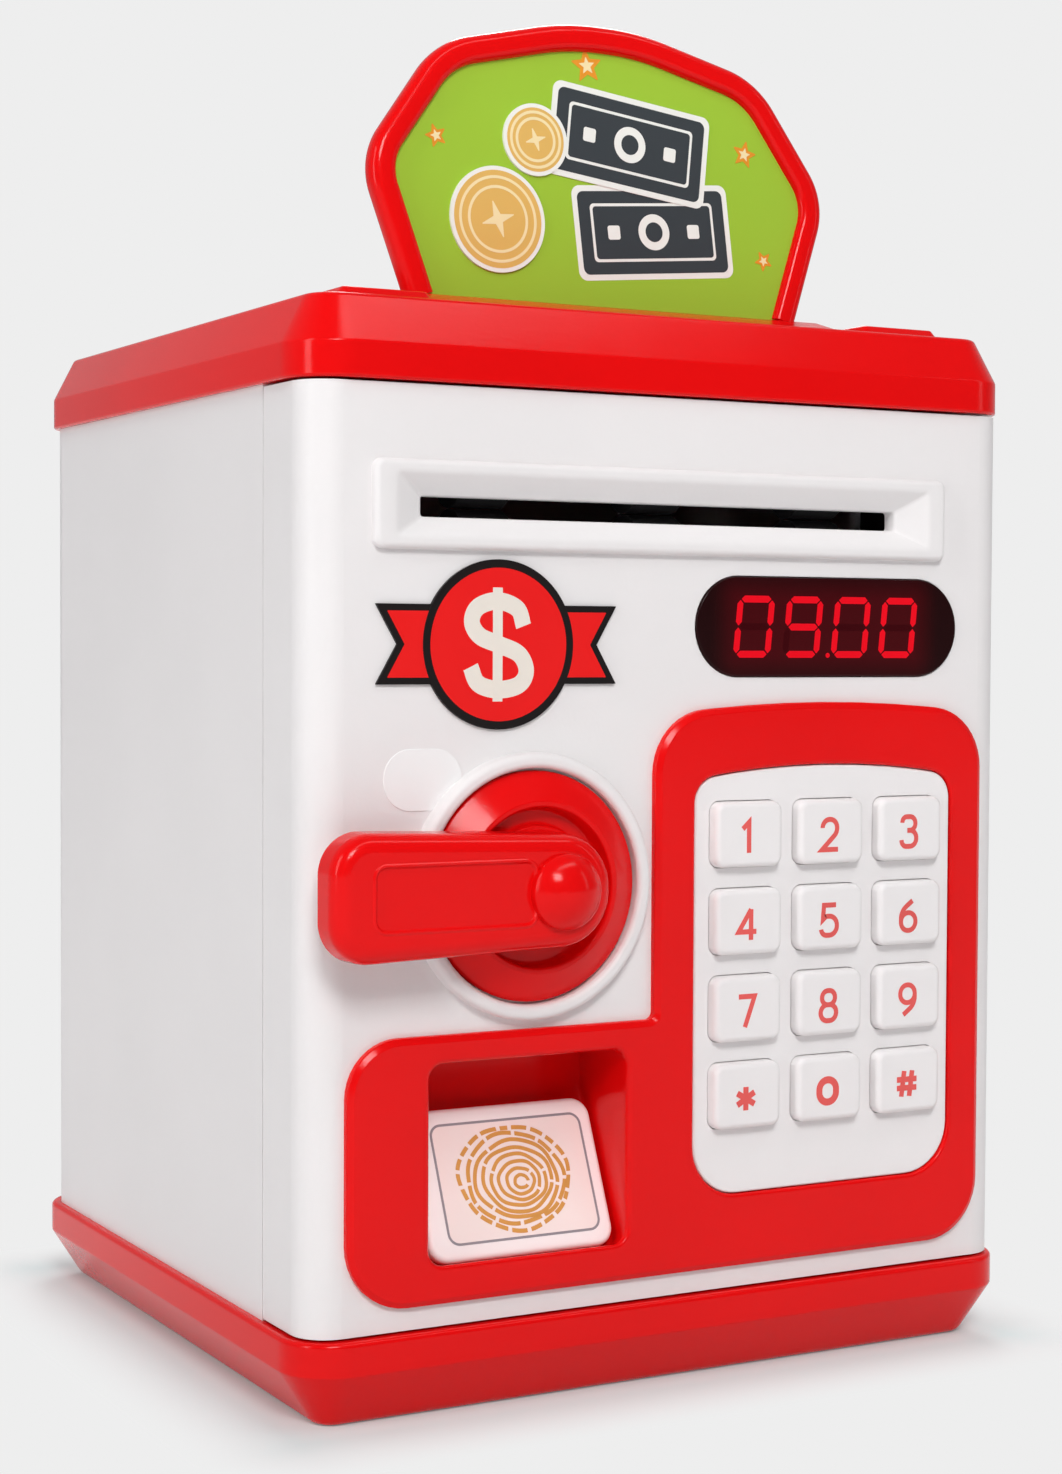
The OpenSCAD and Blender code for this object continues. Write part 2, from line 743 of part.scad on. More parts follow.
module rear_shell() {
    color(white)
        difference() {
            union() {
                translate([0, 0, base_h])
                    linear_extrude(height = case_h)
                        difference() {
                            rounded_plan(case_w, case_d, shell_corner_r);
                            rounded_plan(case_w - 2 * case_wall, case_d - 2 * case_wall,
                                shell_corner_r - case_wall);
                            translate([-case_w, -case_d])
                                square([2 * case_w, case_d + shell_front_y]);
                        }
                for (p = post_places)
                    shell_post(p[0], p[1]);
            }
            for (p = post_places) {
                rod_z(p[0], p[1], 0, screw_boss_h + seat_gap + screw_bite, case_screw_r + set_clear);
                rod_z(p[0], p[1], case_top - post_h - 1, post_h + 2, case_screw_r + 0.3);
            }
        }
}

// Lower and upper screw posts of the rear shell, tied to its side wall
module shell_post(x, y) {
    side = sign(x);
    wall_x = side * (case_x - case_wall + 0.5);
    rod_z(x, y, screw_boss_h + seat_gap, base_h + post_h - screw_boss_h - seat_gap, post_r);
    rod_z(x, y, case_top - post_h, post_h, post_r);
    span([min(x, wall_x), y - 1, base_h], [max(x, wall_x), y + 1, base_h + post_h]);
    span([min(x, wall_x), y - 1, case_top - post_h], [max(x, wall_x), y + 1, case_top]);
}

module lid() {
    color(red)
        difference() {
            union() {
                difference() {
                    union() {
                        translate([0, 0, case_top])
                            rounded_block(lid_w, lid_d, case_corner_r, lid_skirt_h);
                        translate([0, 0, lid_bend_z])
                            leaning_block(lid_w, lid_d, case_corner_r, lid_bevel_h, lid_bevel_in);
                    }
                    translate([0, 0, case_top - 1])
                        rounded_block(2 * lid_hollow_x, 2 * lid_hollow_y, tray_corner_r,
                            lid_top - lid_top_t - case_top + 1);
                }
                for (p = post_places)
                    rod_z(p[0], p[1], case_top, lid_top - lid_top_t - case_top + 0.5, post_r);
                rod_z(hinge_x, hinge_y, case_top, hinge_pin_set + 1.5, knuckle_r);
                lid_dressings();
            }
            sign_sockets();
            translate([-coin_slot_l / 2, coin_slot_y - coin_slot_w / 2, case_top])
                cube([coin_slot_l, coin_slot_w, lid_top]);
            for (p = post_places)
                rod_z(p[0], p[1], case_top - 1, screw_bite + 1, case_screw_r + set_clear);
            rod_z(hinge_x, hinge_y, case_top - 1, hinge_pin_set + 1, hinge_pin_r + set_clear);
        }
}

// What stands up from the lid's top: corner pads, coin lip and the sign's seat
module lid_dressings() {
    root = 0.5;
    for (sx = [-1, 1], sy = [-1, 1])
        translate([sx * lid_pad_x, sy * lid_pad_y, lid_top - root])
            rounded_block(lid_pad_w, lid_pad_l, 2, lid_pad_h + root);
    translate([0, coin_slot_y, lid_top - root])
        rounded_block(coin_slot_l + 8, coin_slot_w + 8, 3, coin_lip_h + root);
    side_slab(-seat_half_w, 2 * seat_half_w)
        polygon([[seat_front_y, lid_top - root], [seat_back_y, lid_top - root], [seat_back_y, seat_top],
            [-sign_y - sign_bead_t / 2 - 1.5, seat_top], [seat_front_y, lid_top]]);
    // Sockets under the seat that take the sign's tabs
    for (sx = [-1, 1])
        translate([sx * sign_tab_x, -sign_y, seat_top - sign_tab_depth - 1.4])
            translate([-sign_tab_w / 2 - 1.5, -sign_tab_t / 2 - 1.5, 0])
                cube([sign_tab_w + 3, sign_tab_t + 3, sign_tab_depth]);
}

module sign_sockets() {
    leaned(0) {
        for (sx = [-1, 1])
            translate([sx * sign_tab_x - sign_tab_w / 2 - fit_clear, -sign_y - sign_tab_t / 2 - fit_clear,
                seat_top - sign_tab_depth - seat_gap])
                cube([sign_tab_w + 2 * fit_clear, sign_tab_t + 2 * fit_clear, sign_tab_depth + 2]);
        // Groove for the panel's lower edge
        translate([-sign_groove_x, -sign_y - sign_panel_t / 2 - fit_clear, seat_top - panel_tongue - seat_gap])
            cube([2 * sign_groove_x, sign_panel_t + 2 * fit_clear, panel_tongue + 2]);
    }
}

// Turns what stands on the seat back by the sign's lean, about the seat's top, after a lift
module leaned(lift) {
    translate([0, -sign_y, seat_top])
        rotate([-sign_lean, 0, 0])
            translate([0, sign_y, lift - seat_top])
                children();
}

// Corners of the sign's outline with its feet drawn on down by a length
function sign_right(down) =
    let (slope = (sign_wide_x - sign_foot_x) / sign_wide_h)
    [[sign_foot_x - slope * down, seat_top - down], [sign_wide_x, seat_top + sign_wide_h],
        [sign_shoulder_x, seat_top + sign_shoulder_h], [sign_crown_x, seat_top + sign_top_h]];

// Sign outline drawn in by a margin, with its lower edge at a height above the seat
module sign_outline(inset, low) {
    right = sign_right(inset - low);
    left = [for (i = [3:-1:0]) [-right[i][0], right[i][1]]];
    radii = [0, sign_wide_r, sign_shoulder_r, sign_crown_r, sign_crown_r, sign_shoulder_r, sign_wide_r, 0];
    polygon(rounded_outline(inset_points(concat(right, left), inset), [for (r = radii) max(0, r - inset)]));
}

module sign_frame() {
    face_t = (sign_bead_t - sign_panel_t - fit_clear) / 2;
    groove_t = sign_panel_t + fit_clear;
    color(red) leaned(sign_lift) {
        for (side = [-1, 1])
            front_slab(-sign_y + side * (groove_t + face_t) / 2 - face_t / 2, face_t)
                difference() {
                    sign_outline(0, 0);
                    sign_outline(sign_bead_w, -1);
                }
        front_slab(-sign_y - groove_t / 2, groove_t)
            difference() {
                sign_outline(0, 0);
                sign_outline(sign_bead_w - panel_lip - fit_clear, -1);
            }
        for (side = [-1, 1])
            translate([side * sign_tab_x - sign_tab_w / 2, -sign_y - sign_tab_t / 2,
                seat_top - sign_tab_depth])
                cube([sign_tab_w, sign_tab_t, sign_tab_depth + 0.5]);
    }
}

module sign_panel() {
    color(green) leaned(sign_lift)
        front_slab(-sign_y - sign_panel_t / 2, sign_panel_t) {
            sign_outline(sign_bead_w - panel_lip, seat_gap);
            translate([-sign_groove_x + 0.3, seat_top - panel_tongue])
                square([2 * sign_groove_x - 0.6, panel_tongue + 1]);
        }
}

module hinge_pins() {
    color(steel) {
        rod_z(hinge_x, hinge_y, base_h - hinge_pin_set + seat_gap, hinge_pin_set + door_gap + knuckle_h,
            hinge_pin_r);
        rod_z(hinge_x, hinge_y, door_high - knuckle_h, knuckle_h + door_gap + hinge_pin_set - seat_gap,
            hinge_pin_r);
    }
}

module latch_strike() {
    color(steel) {
        span([strike_x, strike_front_y, dial_z - strike_h / 2],
            [strike_x + strike_leg_t, strike_front_y + strike_leg_l, dial_z + strike_h / 2]);
        span([strike_x, strike_front_y, dial_z - strike_h / 2],
            [strike_x + strike_lip, strike_front_y + strike_t, dial_z + strike_h / 2]);
    }
}

module case_screws() {
    color(steel)
        for (p = post_places)
            translate([p[0], p[1], counterbore_h])
                screw(case_screw_r, case_screw_head_r, case_screw_head_t, screw_bite);
}

module lid_screws() {
    color(steel)
        for (p = post_places)
            translate([p[0], p[1], case_top - post_h])
                screw(case_screw_r, case_screw_head_r, case_screw_head_t, post_h + screw_bite - 1);
}

// Door in plan: a tray open to the back, rounded at the front corners and
// round the hinge pins at its right rear edge
module door_plan() {
    difference() {
        union() {
            translate([-case_x, face_y + door_corner_r])
                square([case_w, door_depth - door_corner_r]);
            translate([-case_x + door_corner_r, face_y])
                square([case_w - 2 * door_corner_r, door_corner_r * 2]);
            for (sx = [-1, 1])
                translate([sx * (case_x - door_corner_r), face_y + door_corner_r])
                    circle(r = door_corner_r);
        }
        difference() {
            translate([hinge_x, hinge_y])
                square([2 * knuckle_r, 2 * knuckle_r]);
            translate([hinge_x, hinge_y])
                circle(r = knuckle_r);
        }
    }
}

module door_hollow_plan() {
    inner_r = door_corner_r - case_wall;
    translate([-case_x + case_wall, face_y + door_corner_r])
        square([case_w - 2 * case_wall, door_depth]);
    translate([-case_x + door_corner_r, door_wall_y])
        square([case_w - 2 * door_corner_r, door_corner_r]);
    for (sx = [-1, 1])
        translate([sx * (case_x - door_corner_r), face_y + door_corner_r])
            circle(r = inner_r);
}

module door_shell() {
    color(white)
        difference() {
            union() {
                difference() {
                    translate([0, 0, door_low])
                        linear_extrude(height = door_high - door_low)
                            door_plan();
                    translate([0, 0, door_low + case_wall])
                        linear_extrude(height = door_high - door_low - 2 * case_wall)
                            door_hollow_plan();
                }
                rod_z(hinge_x, hinge_y, door_low, knuckle_h, knuckle_r);
                rod_z(hinge_x, hinge_y, door_high - knuckle_h, knuckle_h, knuckle_r);
                dial_ring();
                for (b = cover_bosses)
                    rod_y(b[0], b[1], door_wall_y - 0.5, cover_front_y - door_wall_y + 0.5, cover_boss_r);
            }
            rod_z(hinge_x, hinge_y, door_low - 1, knuckle_h + 2, hinge_pin_r + turn_clear);
            rod_z(hinge_x, hinge_y, door_high - knuckle_h - 1, knuckle_h + 2, hinge_pin_r + turn_clear);
            rod_y(dial_x, dial_z, face_y - 2, case_wall + 4, shaft_r + turn_clear);
            for (b = cover_bosses)
                rod_y(b[0], b[1], cover_front_y - cover_screw_bite, cover_screw_bite + 1,
                    cover_screw_r + set_clear);
            door_cutouts();
        }
}

module door_cutouts() {
    cut = case_wall + 4;
    front_slab(face_y - 2, cut)
        translate([slot_x, slot_z])
            square([collar_w + 2 * fit_clear, collar_h + 2 * fit_clear], center = true);
    front_slab(face_y - 2, cut)
        translate([window_x, window_z])
            pill(window_w + 2 * fit_clear, window_h + 2 * fit_clear);
    front_slab(face_y - 2, cut)
        translate([key_cols_mid_x, key_rows_mid_z])
            square([2 * key_pitch_x + key_w + 2 * key_flange + 0.8,
                3 * key_pitch_z + key_h + 2 * key_flange + 0.8], center = true);
    span([recess_left - recess_wall - fit_clear, face_y - 2, pocket_low - fit_clear],
        [recess_right + recess_wall + fit_clear, face_y - 2 + cut, recess_top + recess_wall + fit_clear]);
}

module pill(w, h) {
    square([w - h, h], center = true);
    for (sx = [-1, 1])
        translate([sx * (w - h) / 2, 0])
            circle(d = h);
}

// Raised ring moulded on the door's face round the dial
module dial_ring() {
    edge = 0.7;
    root = 0.4;
    translate([dial_x, face_y + root, dial_z])
        rotate([90, 0, 0])
            rotate_extrude()
                polygon([[ring_bore_r, 0], [ring_r, 0], [ring_r, ring_h + root - edge],
                    [ring_r - edge, ring_h + root], [ring_bore_r + edge, ring_h + root],
                    [ring_bore_r, ring_h + root - edge]]);
}

module slot_bezel() {
    rim_chamfer = 0.8;
    color(white)
        difference() {
            union() {
                front_slab(bezel_front_y, bezel_t)
                    translate([slot_x, slot_z])
                        rounded_plan(bezel_w, bezel_h, rim_chamfer * 2);
                front_slab(face_y, case_wall)
                    translate([slot_x, slot_z])
                        square([collar_w, collar_h], center = true);
                front_slab(door_wall_y, collar_back_y - door_wall_y)
                    translate([slot_x, slot_z])
                        square([throat_w, throat_h], center = true);
            }
            funnel();
            span([slot_x - slot_w / 2, face_y - 2, slot_z - slot_h / 2],
                [slot_x + slot_w / 2, collar_back_y + 1, slot_z + slot_h / 2]);
        }
}

// Four-sided funnel from the bezel's face down to the slot
module funnel() {
    w0 = funnel_w / 2;
    h0 = funnel_h / 2;
    w1 = slot_w / 2;
    h1 = slot_h / 2;
    y0 = bezel_front_y;
    y1 = bezel_front_y + funnel_depth;
    intersection() {
        translate([0, 0, slot_z - h0])
            linear_extrude(height = 2 * h0)
                polygon([[slot_x - w0 - (w0 - w1) / funnel_depth, y0 - 1],
                    [slot_x + w0 + (w0 - w1) / funnel_depth, y0 - 1],
                    [slot_x + w1, y1], [slot_x - w1, y1]]);
        side_slab(slot_x - w0, 2 * w0)
            polygon([[y0 - 1, slot_z - h0 - (h0 - h1) / funnel_depth],
                [y0 - 1, slot_z + h0 + (h0 - h1) / funnel_depth],
                [y1, slot_z + h1], [y1, slot_z - h1]]);
    }
}

// Point on or under the finger pad: a up its slope, w in from its face
function on_pad(a, w) = pad_foot + a * pad_rise + w * pad_in;
// Depth w at which the line at height a up the slope crosses a given y
function pad_depth_at(a, y) = (y - pad_foot[0] - a * pad_rise[0]) / pad_in[0];
// Height up the slope at which a plane w under the pad crosses a given y
function pad_height_at(w, y) = (y - pad_foot[0] - w * pad_in[0]) / pad_rise[0];

pocket_floor_a = -pad_side_gap - recess_wall;
pocket_shelf_w = shelf_w + shelf_t;
pocket_back_y = recess_back_y + recess_wall;
pocket_low = on_pad(pocket_floor_a, pocket_shelf_w)[1];

module recess_profile() {
    polygon([on_pad(-pad_side_gap, pad_depth_at(-pad_side_gap, panel_front_y - 1)),
        on_pad(-pad_side_gap, shelf_w),
        on_pad(pad_height_at(shelf_w, recess_back_y), shelf_w),
        [recess_back_y, recess_top],
        [panel_front_y - 1, recess_top]]);
}

module pocket_profile() {
    polygon([on_pad(pocket_floor_a, pad_depth_at(pocket_floor_a, face_y)),
        on_pad(pocket_floor_a, pocket_shelf_w),
        on_pad(pad_height_at(pocket_shelf_w, pocket_back_y), pocket_shelf_w),
        [pocket_back_y, recess_top + recess_wall],
        [face_y, recess_top + recess_wall]]);
}

module panel_outline() {
    top = panel_top;
    low_top = panel_low + panel_low_h;
    arch = arch_points(panel_left, panel_right, top, arch_rise, 0.16);
    corners = [[panel_right, panel_low], [panel_right, top]];
    left_corners = [[panel_left, top], [panel_left, low_top], [panel_low_left, low_top],
        [panel_low_left, panel_low]];
    radii = concat([panel_corner_r, panel_corner_r], [for (p = arch) 0],
        [panel_corner_r, 1.2, panel_corner_r, panel_corner_r]);
    polygon(rounded_outline(concat(corners, arch, left_corners), radii));
}

module plate_outline(margin) {
    low = plate_low - margin;
    top = plate_top + margin;
    left = plate_left - margin;
    right = plate_right + margin;
    arch = arch_points(left, right, top, arch_rise, 0.14);
    radii = concat([plate_low_r, plate_top_r], [for (p = arch) 0], [plate_top_r, plate_low_r]);
    polygon(rounded_outline(concat([[right, low], [right, top]], arch, [[left, top], [left, low]]), radii));
}

module red_panel() {
    color(red)
        difference() {
            union() {
                front_slab(panel_front_y, panel_t)
                    difference() {
                        panel_outline();
                        plate_outline(fit_clear);
                    }
                side_slab(recess_left - recess_wall, recess_w + 2 * recess_wall)
                    pocket_profile();
            }
            side_slab(recess_left, recess_w)
                recess_profile();
            pad_rod(shelf_w - 1, shelf_t + 2, stem_r + 0.3);
        }
    // Posts that carry the pad's switch board
    color(red)
        for (side = [-1, 1])
            translate([side * (switch_board_w / 2 - switch_post_r - 0.4), 0, 0])
                pad_rod(pocket_shelf_w - 0.4, switch_w + switch_t - pocket_shelf_w + 0.35, switch_post_r);
}

// Rod square to the finger pad's face, from depth w0 in through l
module pad_rod(w0, l, r) {
    p = on_pad(stem_up, w0);
    translate([pad_mid_x, p[0], p[1]])
        rotate([-90 - pad_tilt, 0, 0])
            cylinder(r = r, h = l);
}

// Slab of a flat shape parallel to the finger pad's face, w0 to w0 + t deep
module pad_block(a, w0, t) {
    p = on_pad(a, w0);
    translate([pad_mid_x, p[0], p[1]])
        rotate([-90 - pad_tilt, 0, 0])
            linear_extrude(height = t)
                children();
}

module finger_pad() {
    color(white) {
        pad_block(pad_l / 2, 0, pad_t)
            rounded_plan(pad_w, pad_l, 3.2);
        pad_rod(pad_t - 0.3, stem_end_w - pad_t + 0.3, stem_r);
    }
}

module pad_switch() {
    color(dark) {
        pad_block(stem_up, switch_w, switch_t)
            square(switch_side, center = true);
        pad_block(stem_up, switch_w + switch_t, switch_board_t)
            square([switch_board_w, switch_board_l], center = true);
    }
}

module keypad_plate() {
    color(white)
        difference() {
            front_slab(plate_front_y, plate_t)
                plate_outline(0);
            for (col = [-1:1], row = [-1.5:1.5])
                front_slab(plate_front_y - 1, plate_t + 2)
                    translate([key_cols_mid_x + col * key_pitch_x, key_rows_mid_z + row * key_pitch_z])
                        rounded_plan(key_w + 2 * key_gap, key_h + 2 * key_gap, key_corner_r + key_gap);
        }
}

// One key: cap through the plate and a flange behind it
module key(col, row) {
    cap_l = key_flange_front_y - key_front_y;
    color(white)
        translate([key_cols_mid_x + (col - 1) * key_pitch_x, 0, key_rows_mid_z + (1.5 - row) * key_pitch_z]) {
            front_slab(key_front_y, cap_l)
                rounded_plan(key_w, key_h, key_corner_r);
            front_slab(key_flange_front_y, key_flange_t)
                rounded_plan(key_w + 2 * key_flange, key_h + 2 * key_flange, key_corner_r);
        }
}

module key_1() { key(0, 0); }
module key_2() { key(1, 0); }
module key_3() { key(2, 0); }
module key_4() { key(0, 1); }
module key_5() { key(1, 1); }
module key_6() { key(2, 1); }
module key_7() { key(0, 2); }
module key_8() { key(1, 2); }
module key_9() { key(2, 2); }
module key_star() { key(0, 3); }
module key_0() { key(1, 3); }
module key_hash() { key(2, 3); }

module keypad_membrane() {
    color([0.75, 0.75, 0.76])
        front_slab(membrane_front_y, membrane_t)
            translate([key_cols_mid_x, key_rows_mid_z])
                rounded_plan(2 * key_pitch_x + key_w + 2 * key_flange + 2 * keypad_side,
                    3 * key_pitch_z + key_h + 2 * key_flange + 2 * keypad_side, 1);
}

module keypad_board() {
    color(board_green)
        front_slab(key_board_front_y, key_board_t)
            translate([key_cols_mid_x, key_rows_mid_z])
                square([2 * key_pitch_x + key_w + 2 * key_flange + 2 * keypad_side,
                    3 * key_pitch_z + key_h + 2 * key_flange + 2 * keypad_side], center = true);
}

module display_window() {
    color(dark)
        front_slab(face_y - window_proud, window_lip_y - face_y + window_proud)
            translate([window_x, window_z])
                pill(window_w, window_h);
}

// Seven-segment block on its board
module display_block() {
    color(dark)
        front_slab(window_lip_y + seat_gap, display_t)
            translate([window_x, window_z])
                square([display_w, display_h], center = true);
    color(board_green)
        front_slab(window_lip_y + seat_gap + display_t, 1.4)
            translate([window_x, window_z])
                square([display_w + 4, display_h + 1], center = true);
}

module badge() {
    half = badge_ribbon_h / 2;
    color(red)
        front_slab(face_y - badge_t, badge_t)
            translate([badge_x, badge_z]) {
                circle(r = badge_r);
                polygon([[-badge_reach, -half], [badge_reach, -half], [badge_reach - badge_notch, 0],
                    [badge_reach, half], [-badge_reach, half], [-badge_reach + badge_notch, 0]]);
            }
}

module feed_frame() {
    color(dark)
        difference() {
            union() {
                span([frame_left, frame_front_y, motor_z - motor_r - 1],
                    [frame_left + frame_plate_t, frame_back_y, frame_top]);
                span([frame_right - frame_plate_t, frame_front_y, frame_low],
                    [frame_right, frame_back_y, frame_top]);
                // Guides above and below the slot
                span([frame_left, frame_front_y, slot_z + collar_h / 2 + 0.5],
                    [frame_right, frame_front_y + guide_t, frame_top]);
                span([frame_left, frame_front_y, frame_low],
                    [frame_right, frame_front_y + guide_t, slot_z - collar_h / 2 - 0.5]);
                // Shelf under the motor
                span([frame_left, feed_y - motor_r, motor_z - motor_r - seat_gap - motor_shelf_t],
                    [frame_left + frame_plate_t + motor_l, feed_y + motor_r, motor_z - motor_r - seat_gap]);
                rod_x(feed_y, idler_z, gear_left - 0.5, gear_t + gear_gap + 1.5, idler_pin_r);
            }
            rod_x(feed_y, upper_z, frame_left - 1, 2 * frame_half + 2, feed_shaft_r + turn_clear);
            rod_x(feed_y, lower_z, frame_left - 1, 2 * frame_half + 2, feed_shaft_r + turn_clear);
            rod_x(feed_y, motor_z, frame_left - 1, frame_plate_t + 2, motor_shaft_r + 1);
        }
}

module feed_motor() {
    x0 = frame_left + frame_plate_t;
    color(steel)
        difference() {
            rod_x(feed_y, motor_z, x0 + 0.05, motor_l, motor_r);
            rod_x(feed_y, motor_z, x0 - 1, 5, motor_shaft_r + turn_clear);
        }
}

module feed_shaft(z) {
    color(steel)
        rod_x(feed_y, z, gear_left - 0.5, frame_right - gear_left + 1.5, feed_shaft_r);
}

module feed_tyres(z) {
    color([0.18, 0.18, 0.19])
        for (k = [-1:1])
            difference() {
                rod_x(feed_y, z, slot_x + k * tyre_pitch - tyre_w / 2, tyre_w, tyre_r);
                rod_x(feed_y, z, slot_x + k * tyre_pitch - tyre_w, 2 * tyre_w, feed_shaft_r + set_clear);
            }
}

module upper_feed_shaft() { feed_shaft(upper_z); }
module lower_feed_shaft() { feed_shaft(lower_z); }
module upper_tyres() { feed_tyres(upper_z); }
module lower_tyres() { feed_tyres(lower_z); }

module upper_gear() {
    color(white)
        gear(gear_left, upper_z, roller_teeth, -90, feed_shaft_r + set_clear);
}

module lower_gear() {
    color(white)
        gear(gear_left, lower_z, roller_teeth, -90, feed_shaft_r + set_clear);
}

module idler_gear() {
    color(white)
        gear(gear_left, idler_z, idler_teeth, 90 + 180 / idler_teeth, idler_pin_r + turn_clear);
}

module motor_pinion() {
    color(brass_tone)
        gear(gear_left, motor_z, pinion_teeth, 90, motor_shaft_r + set_clear);
}

module motor_shaft() {
    color(steel)
        rod_x(feed_y, motor_z, gear_left - 0.5, frame_left + frame_plate_t + 3.5 - gear_left, motor_shaft_r);
}

module inner_cover() {
    cut = cover_t + 2;
    color(white)
        difference() {
            span([cover_left, cover_front_y, cover_low], [cover_right, cover_back_y, cover_high]);
            // Slot that lets the notes through
            span([slot_x - slot_w / 2 - 1, cover_front_y - 1, slot_z - 3],
                [slot_x + slot_w / 2 + 1, cover_back_y + 1, slot_z + 3]);
            rod_y(dial_x, dial_z, cover_front_y - 1, cut, shaft_r + 0.4);
            rod_y(plunger_x, plunger_z, cover_front_y - 1, cut, plunger_r + 0.4);
            span([box_x - box_in_w / 2 - box_wall - fit_clear, cover_front_y - 1,
                    box_z - box_in_h / 2 - box_wall - fit_clear],
                [box_x + box_in_w / 2 + box_wall + fit_clear, cover_back_y + 1,
                    box_z + box_in_h / 2 + box_wall + fit_clear]);
            for (b = cover_bosses)
                rod_y(b[0], b[1], cover_front_y - 1, cut, cover_screw_r + 0.3);
            // Sound slots
            for (k = [-3:3])
                span([window_x + k * 3 - 0.6, cover_front_y - 1, speaker_z - 8 + abs(k)],
                    [window_x + k * 3 + 0.6, cover_back_y + 1, speaker_z + 8 - abs(k)]);
        }
}

module battery_box() {
    w = box_in_w + 2 * box_wall;
    h = box_in_h + 2 * box_wall;
    color(white)
        difference() {
            union() {
                span([box_x - w / 2, box_front_y, box_z - h / 2], [box_x + w / 2, box_back_y, box_z + h / 2]);
                // Flange that lies on the back of the inner cover
                span([box_x - w / 2 - box_flange, cover_back_y, box_z - h / 2 - box_flange],
                    [box_x + w / 2 + box_flange, cover_back_y + box_flange_t, box_z + h / 2 + box_flange]);
            }
            span([box_x - box_in_w / 2, box_front_y + box_wall, box_z - box_in_h / 2],
                [box_x + box_in_w / 2, box_back_y + 1, box_z + box_in_h / 2]);
        }
}

module battery_cells() {
    nub = 1;
    for (k = [-1:1])
        translate([box_x + k * cell_pitch, cell_y, box_z - cell_l / 2])
            mirror([0, 0, k == 0 ? 1 : 0])
                translate([0, 0, k == 0 ? -cell_l : 0])
                    color(amber) {
                        cylinder(r = cell_r, h = cell_l - nub);
                        translate([0, 0, cell_l - nub])
                            cylinder(r = 2.7, h = nub);
                    }
}

module battery_contacts() {
    color(steel)
        for (k = [-1:1], s = [-1, 1])
            translate([box_x + k * cell_pitch - contact_w / 2, cell_y - contact_w / 2,
                box_z + s * (box_in_h / 2 - contact_t / 2 - 0.05) - contact_t / 2]) {
                cube([contact_w, contact_w, contact_t]);
                // Spring tongue that bears on the cell
                translate([contact_w / 2 - 1.2, contact_w / 2 - 1.2,
                    s > 0 ? -contact_gap + 0.35 : contact_t - 0.1])
                    cube([2.4, 2.4, contact_gap - 0.25]);
            }
}

module battery_cover() {
    w = box_in_w + 2 * box_wall;
    h = box_in_h + 2 * box_wall;
    color(white)
        span([box_x - w / 2, box_back_y, box_z - h / 2],
            [box_x + w / 2, box_back_y + battery_cover_t, box_z + h / 2]);
}

module speaker() {
    color(dark)
        difference() {
            rod_y(window_x, speaker_z, cover_front_y - seat_gap - speaker_t, speaker_t, speaker_r);
            rod_y(window_x, speaker_z, cover_front_y - seat_gap - 1.5, 2.5, speaker_r - 2);
        }
}

module lock_solenoid() {
    color(steel)
        difference() {
            span([plunger_x - solenoid_w / 2, door_wall_y + seat_gap, plunger_z - solenoid_h / 2],
                [plunger_x + solenoid_w / 2, cover_front_y - seat_gap, plunger_z + solenoid_h / 2]);
            rod_y(plunger_x, plunger_z, door_wall_y + 2, door_depth, plunger_r + turn_clear);
        }
}

module lock_plunger() {
    color(steel)
        rod_y(plunger_x, plunger_z, door_wall_y + 4, cover_back_y - door_wall_y - 4.3, plunger_r);
}

module cover_screws() {
    color(steel)
        for (b = cover_bosses)
            translate([b[0], cover_back_y, b[1]])
                rotate([90, 0, 0])
                    screw(cover_screw_r, 2.2, 1.2, cover_t + cover_screw_bite - 0.5);
}

// Dial: cone that rises to a crest, a groove, a hub, and the shaft behind
module dial() {
    gap = seat_gap;
    back = face_y;
    color(red)
        difference() {
            translate([dial_x, back, dial_z])
                rotate([90, 0, 0])
                    rotate_extrude()
                        polygon([[0, gap], [dial_r, gap], [dial_r, dial_rim_h],
                            [dial_crest_r, dial_crest_h], [dial_crest_r - 0.6, dial_crest_h],
                            [dial_crest_r - 1, groove_floor_h], [dial_hub_r + 0.3, groove_floor_h],
                            [dial_hub_r, lever_back_h], [0, lever_back_h]]);
            rod_y(dial_x, dial_z, lever_back_y - 1, handle_screw_bite + 1, handle_screw_r + set_clear);
        }
    color(red)
        difference() {
            union() {
                rod_y(dial_x, dial_z, face_y - gap - 0.5, arm_front_y - face_y + gap + 0.5, shaft_r);
                rod_y(dial_x, dial_z, arm_front_y - 1, arm_t + 1, arm_seat_r);
            }
            rod_y(dial_x, dial_z, shaft_end_y - handle_screw_bite, handle_screw_bite + 1,
                handle_screw_r + set_clear);
            rod_y(dial_x, dial_z, lever_back_y - 1, handle_screw_bite + 1, handle_screw_r + set_clear);
        }
}

module lever_outline() {
    end_x = -lever_l + lever_end_r;
    end_z = lever_end_w / 2 - lever_end_r;
    turn = atan2(end_z, end_x) - acos((lever_hub_r - lever_end_r) / norm([end_x, end_z]));
    touch = [cos(turn), sin(turn)];
    hub_p = lever_hub_r * touch;
    end_p = [end_x, end_z] + lever_end_r * touch;
    circle(r = lever_hub_r);
    for (side = [-1, 1])
        translate([end_x, side * end_z])
            circle(r = lever_end_r);
    polygon([hub_p, end_p, [end_x, end_z], [-lever_l, end_z], [-lever_l, -end_z], [end_x, -end_z],
        [end_p[0], -end_p[1]], [hub_p[0], -hub_p[1]]]);
}

